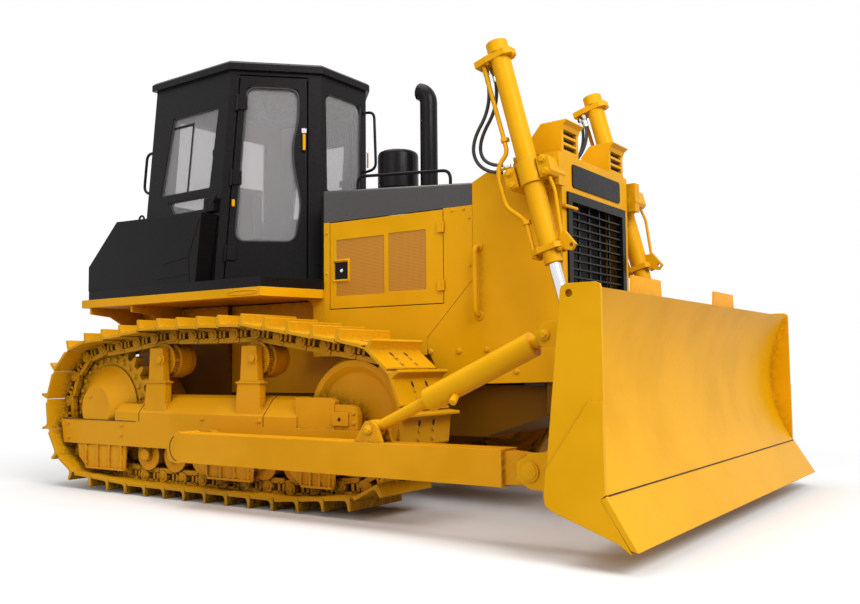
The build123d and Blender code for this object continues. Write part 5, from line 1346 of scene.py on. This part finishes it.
class DOZER_OT_blade_trim(bpy.types.Operator):
    """Seam over the cutting edge, fillers at its ends, arm end arcs, pin faces and brace fittings."""

    bl_idname = "dozer.blade_trim"
    bl_label = "Blade trim"

    def execute(self, context):
        edge = tube([(2.4305, -1.668, 0.3265), (2.4305, 0.0, 0.3265), (2.4305, 1.668, 0.3265)], 0.0035, 6)
        arc = round_y(-0.590, -1.4402, 0.384, 0.086, np.radians(np.linspace(125, 255, 18)))
        add_piece("blade_seams", join(edge, both_sides(tube(arc, 0.003, 6))), "pit", "blade_group")
        wedge = [(2.4075, 0.3065), (2.5425, 0.0920), (2.5250, 0.1000), (2.4760, 0.1345)]
        points, polygons = prism(wedge, 1.6695, 1.6935)
        add_piece("edge_end_fillers", both_sides((points[:, [0, 2, 1]], polygons)), "yellow", "blade_group")
        stub = lathe([(0.021, 0.0), (0.021, 0.088), (0.017, 0.093)], 20)
        stubs = copies(stub, [(1.471, -1.360, 0.760)], facing([(0.1, -0.75, -0.65)]))
        pins = bolts(0.017, [(0.926, -1.428, 0.545), (2.009, -1.430, 1.035)], OUT_RIGHT)
        add_piece("brace_fittings", both_sides(join(stubs, pins)), "yellow", "blade_group")
        face = [(0.040, -1.4695), (0.040, -1.4725), (0.036, -1.474), (0.006, -1.474)]
        faces = both_sides(across_bar(face, 1.939, 0.381, 32))
        add_piece("arm_pin_faces", faces, "yellow", "blade_group")
        return {"FINISHED"}


class DOZER_OT_seat(bpy.types.Operator):
    """Seat and back cushions, blown up as cloth and sewn with two channels."""

    bl_idname = "dozer.seat"
    bl_label = "Seat cushions"

    def execute(self, context):
        low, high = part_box("seat_cushions")
        split = low[0] + 0.113
        base_top = low[2] + 0.100
        base_low = (split + 0.012, low[1], low[2])
        seat = padded_block("seat_cushion", base_low, (high[0], high[1], base_top), 2)
        back = padded_block("back_cushion", (low[0], low[1], low[2] + 0.008), (split, high[1], high[2]), 0)
        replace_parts(seat, "seat_cushions")
        return {"FINISHED"}


class DOZER_PT_panel(bpy.types.Panel):
    """Sidebar panel that lists the dozer's operators."""

    bl_idname = "DOZER_PT_panel"
    bl_label = "Crawler dozer"
    bl_space_type = "VIEW_3D"
    bl_region_type = "UI"
    bl_category = "Dozer"

    def draw(self, context):
        for operator in OPERATORS:
            self.layout.operator(operator.bl_idname)
        for group in (context.scene.dozer_finish, context.scene.dozer_trim, context.scene.dozer_stage):
            for name in group.__annotations__:
                self.layout.prop(group, name)


OPERATORS = (
    DOZER_OT_materials, DOZER_OT_stage, DOZER_OT_hoses, DOZER_OT_tracks, DOZER_OT_wheels,
    DOZER_OT_frame_trim, DOZER_OT_lift_trim, DOZER_OT_blade_trim, DOZER_OT_hood_trim,
    DOZER_OT_engine_doors, DOZER_OT_cab_trim, DOZER_OT_seat,
)
CLASSES = (DozerFinish, DozerStage, DozerTrim, *OPERATORS, DOZER_PT_panel)


def register():
    """Add the classes, and the groups of values to the scene."""
    for made in CLASSES:
        bpy.utils.register_class(made)
    bpy.types.Scene.dozer_finish = PointerProperty(type=DozerFinish)
    bpy.types.Scene.dozer_stage = PointerProperty(type=DozerStage)
    bpy.types.Scene.dozer_trim = PointerProperty(type=DozerTrim)


def unregister():
    """Take the groups of values and the classes away again."""
    del bpy.types.Scene.dozer_finish
    del bpy.types.Scene.dozer_stage
    del bpy.types.Scene.dozer_trim
    for made in reversed(CLASSES):
        bpy.utils.unregister_class(made)


def main():
    register()
    bpy.ops.dozer.materials()
    bpy.ops.dozer.stage()
    bpy.ops.dozer.hoses()
    bpy.ops.dozer.tracks()
    bpy.ops.dozer.wheels()
    bpy.ops.dozer.frame_trim()
    bpy.ops.dozer.lift_trim()
    bpy.ops.dozer.blade_trim()
    bpy.ops.dozer.hood_trim()
    bpy.ops.dozer.engine_doors()
    bpy.ops.dozer.cab_trim()
    bpy.ops.dozer.seat()


if __name__ == "__main__":
    main()
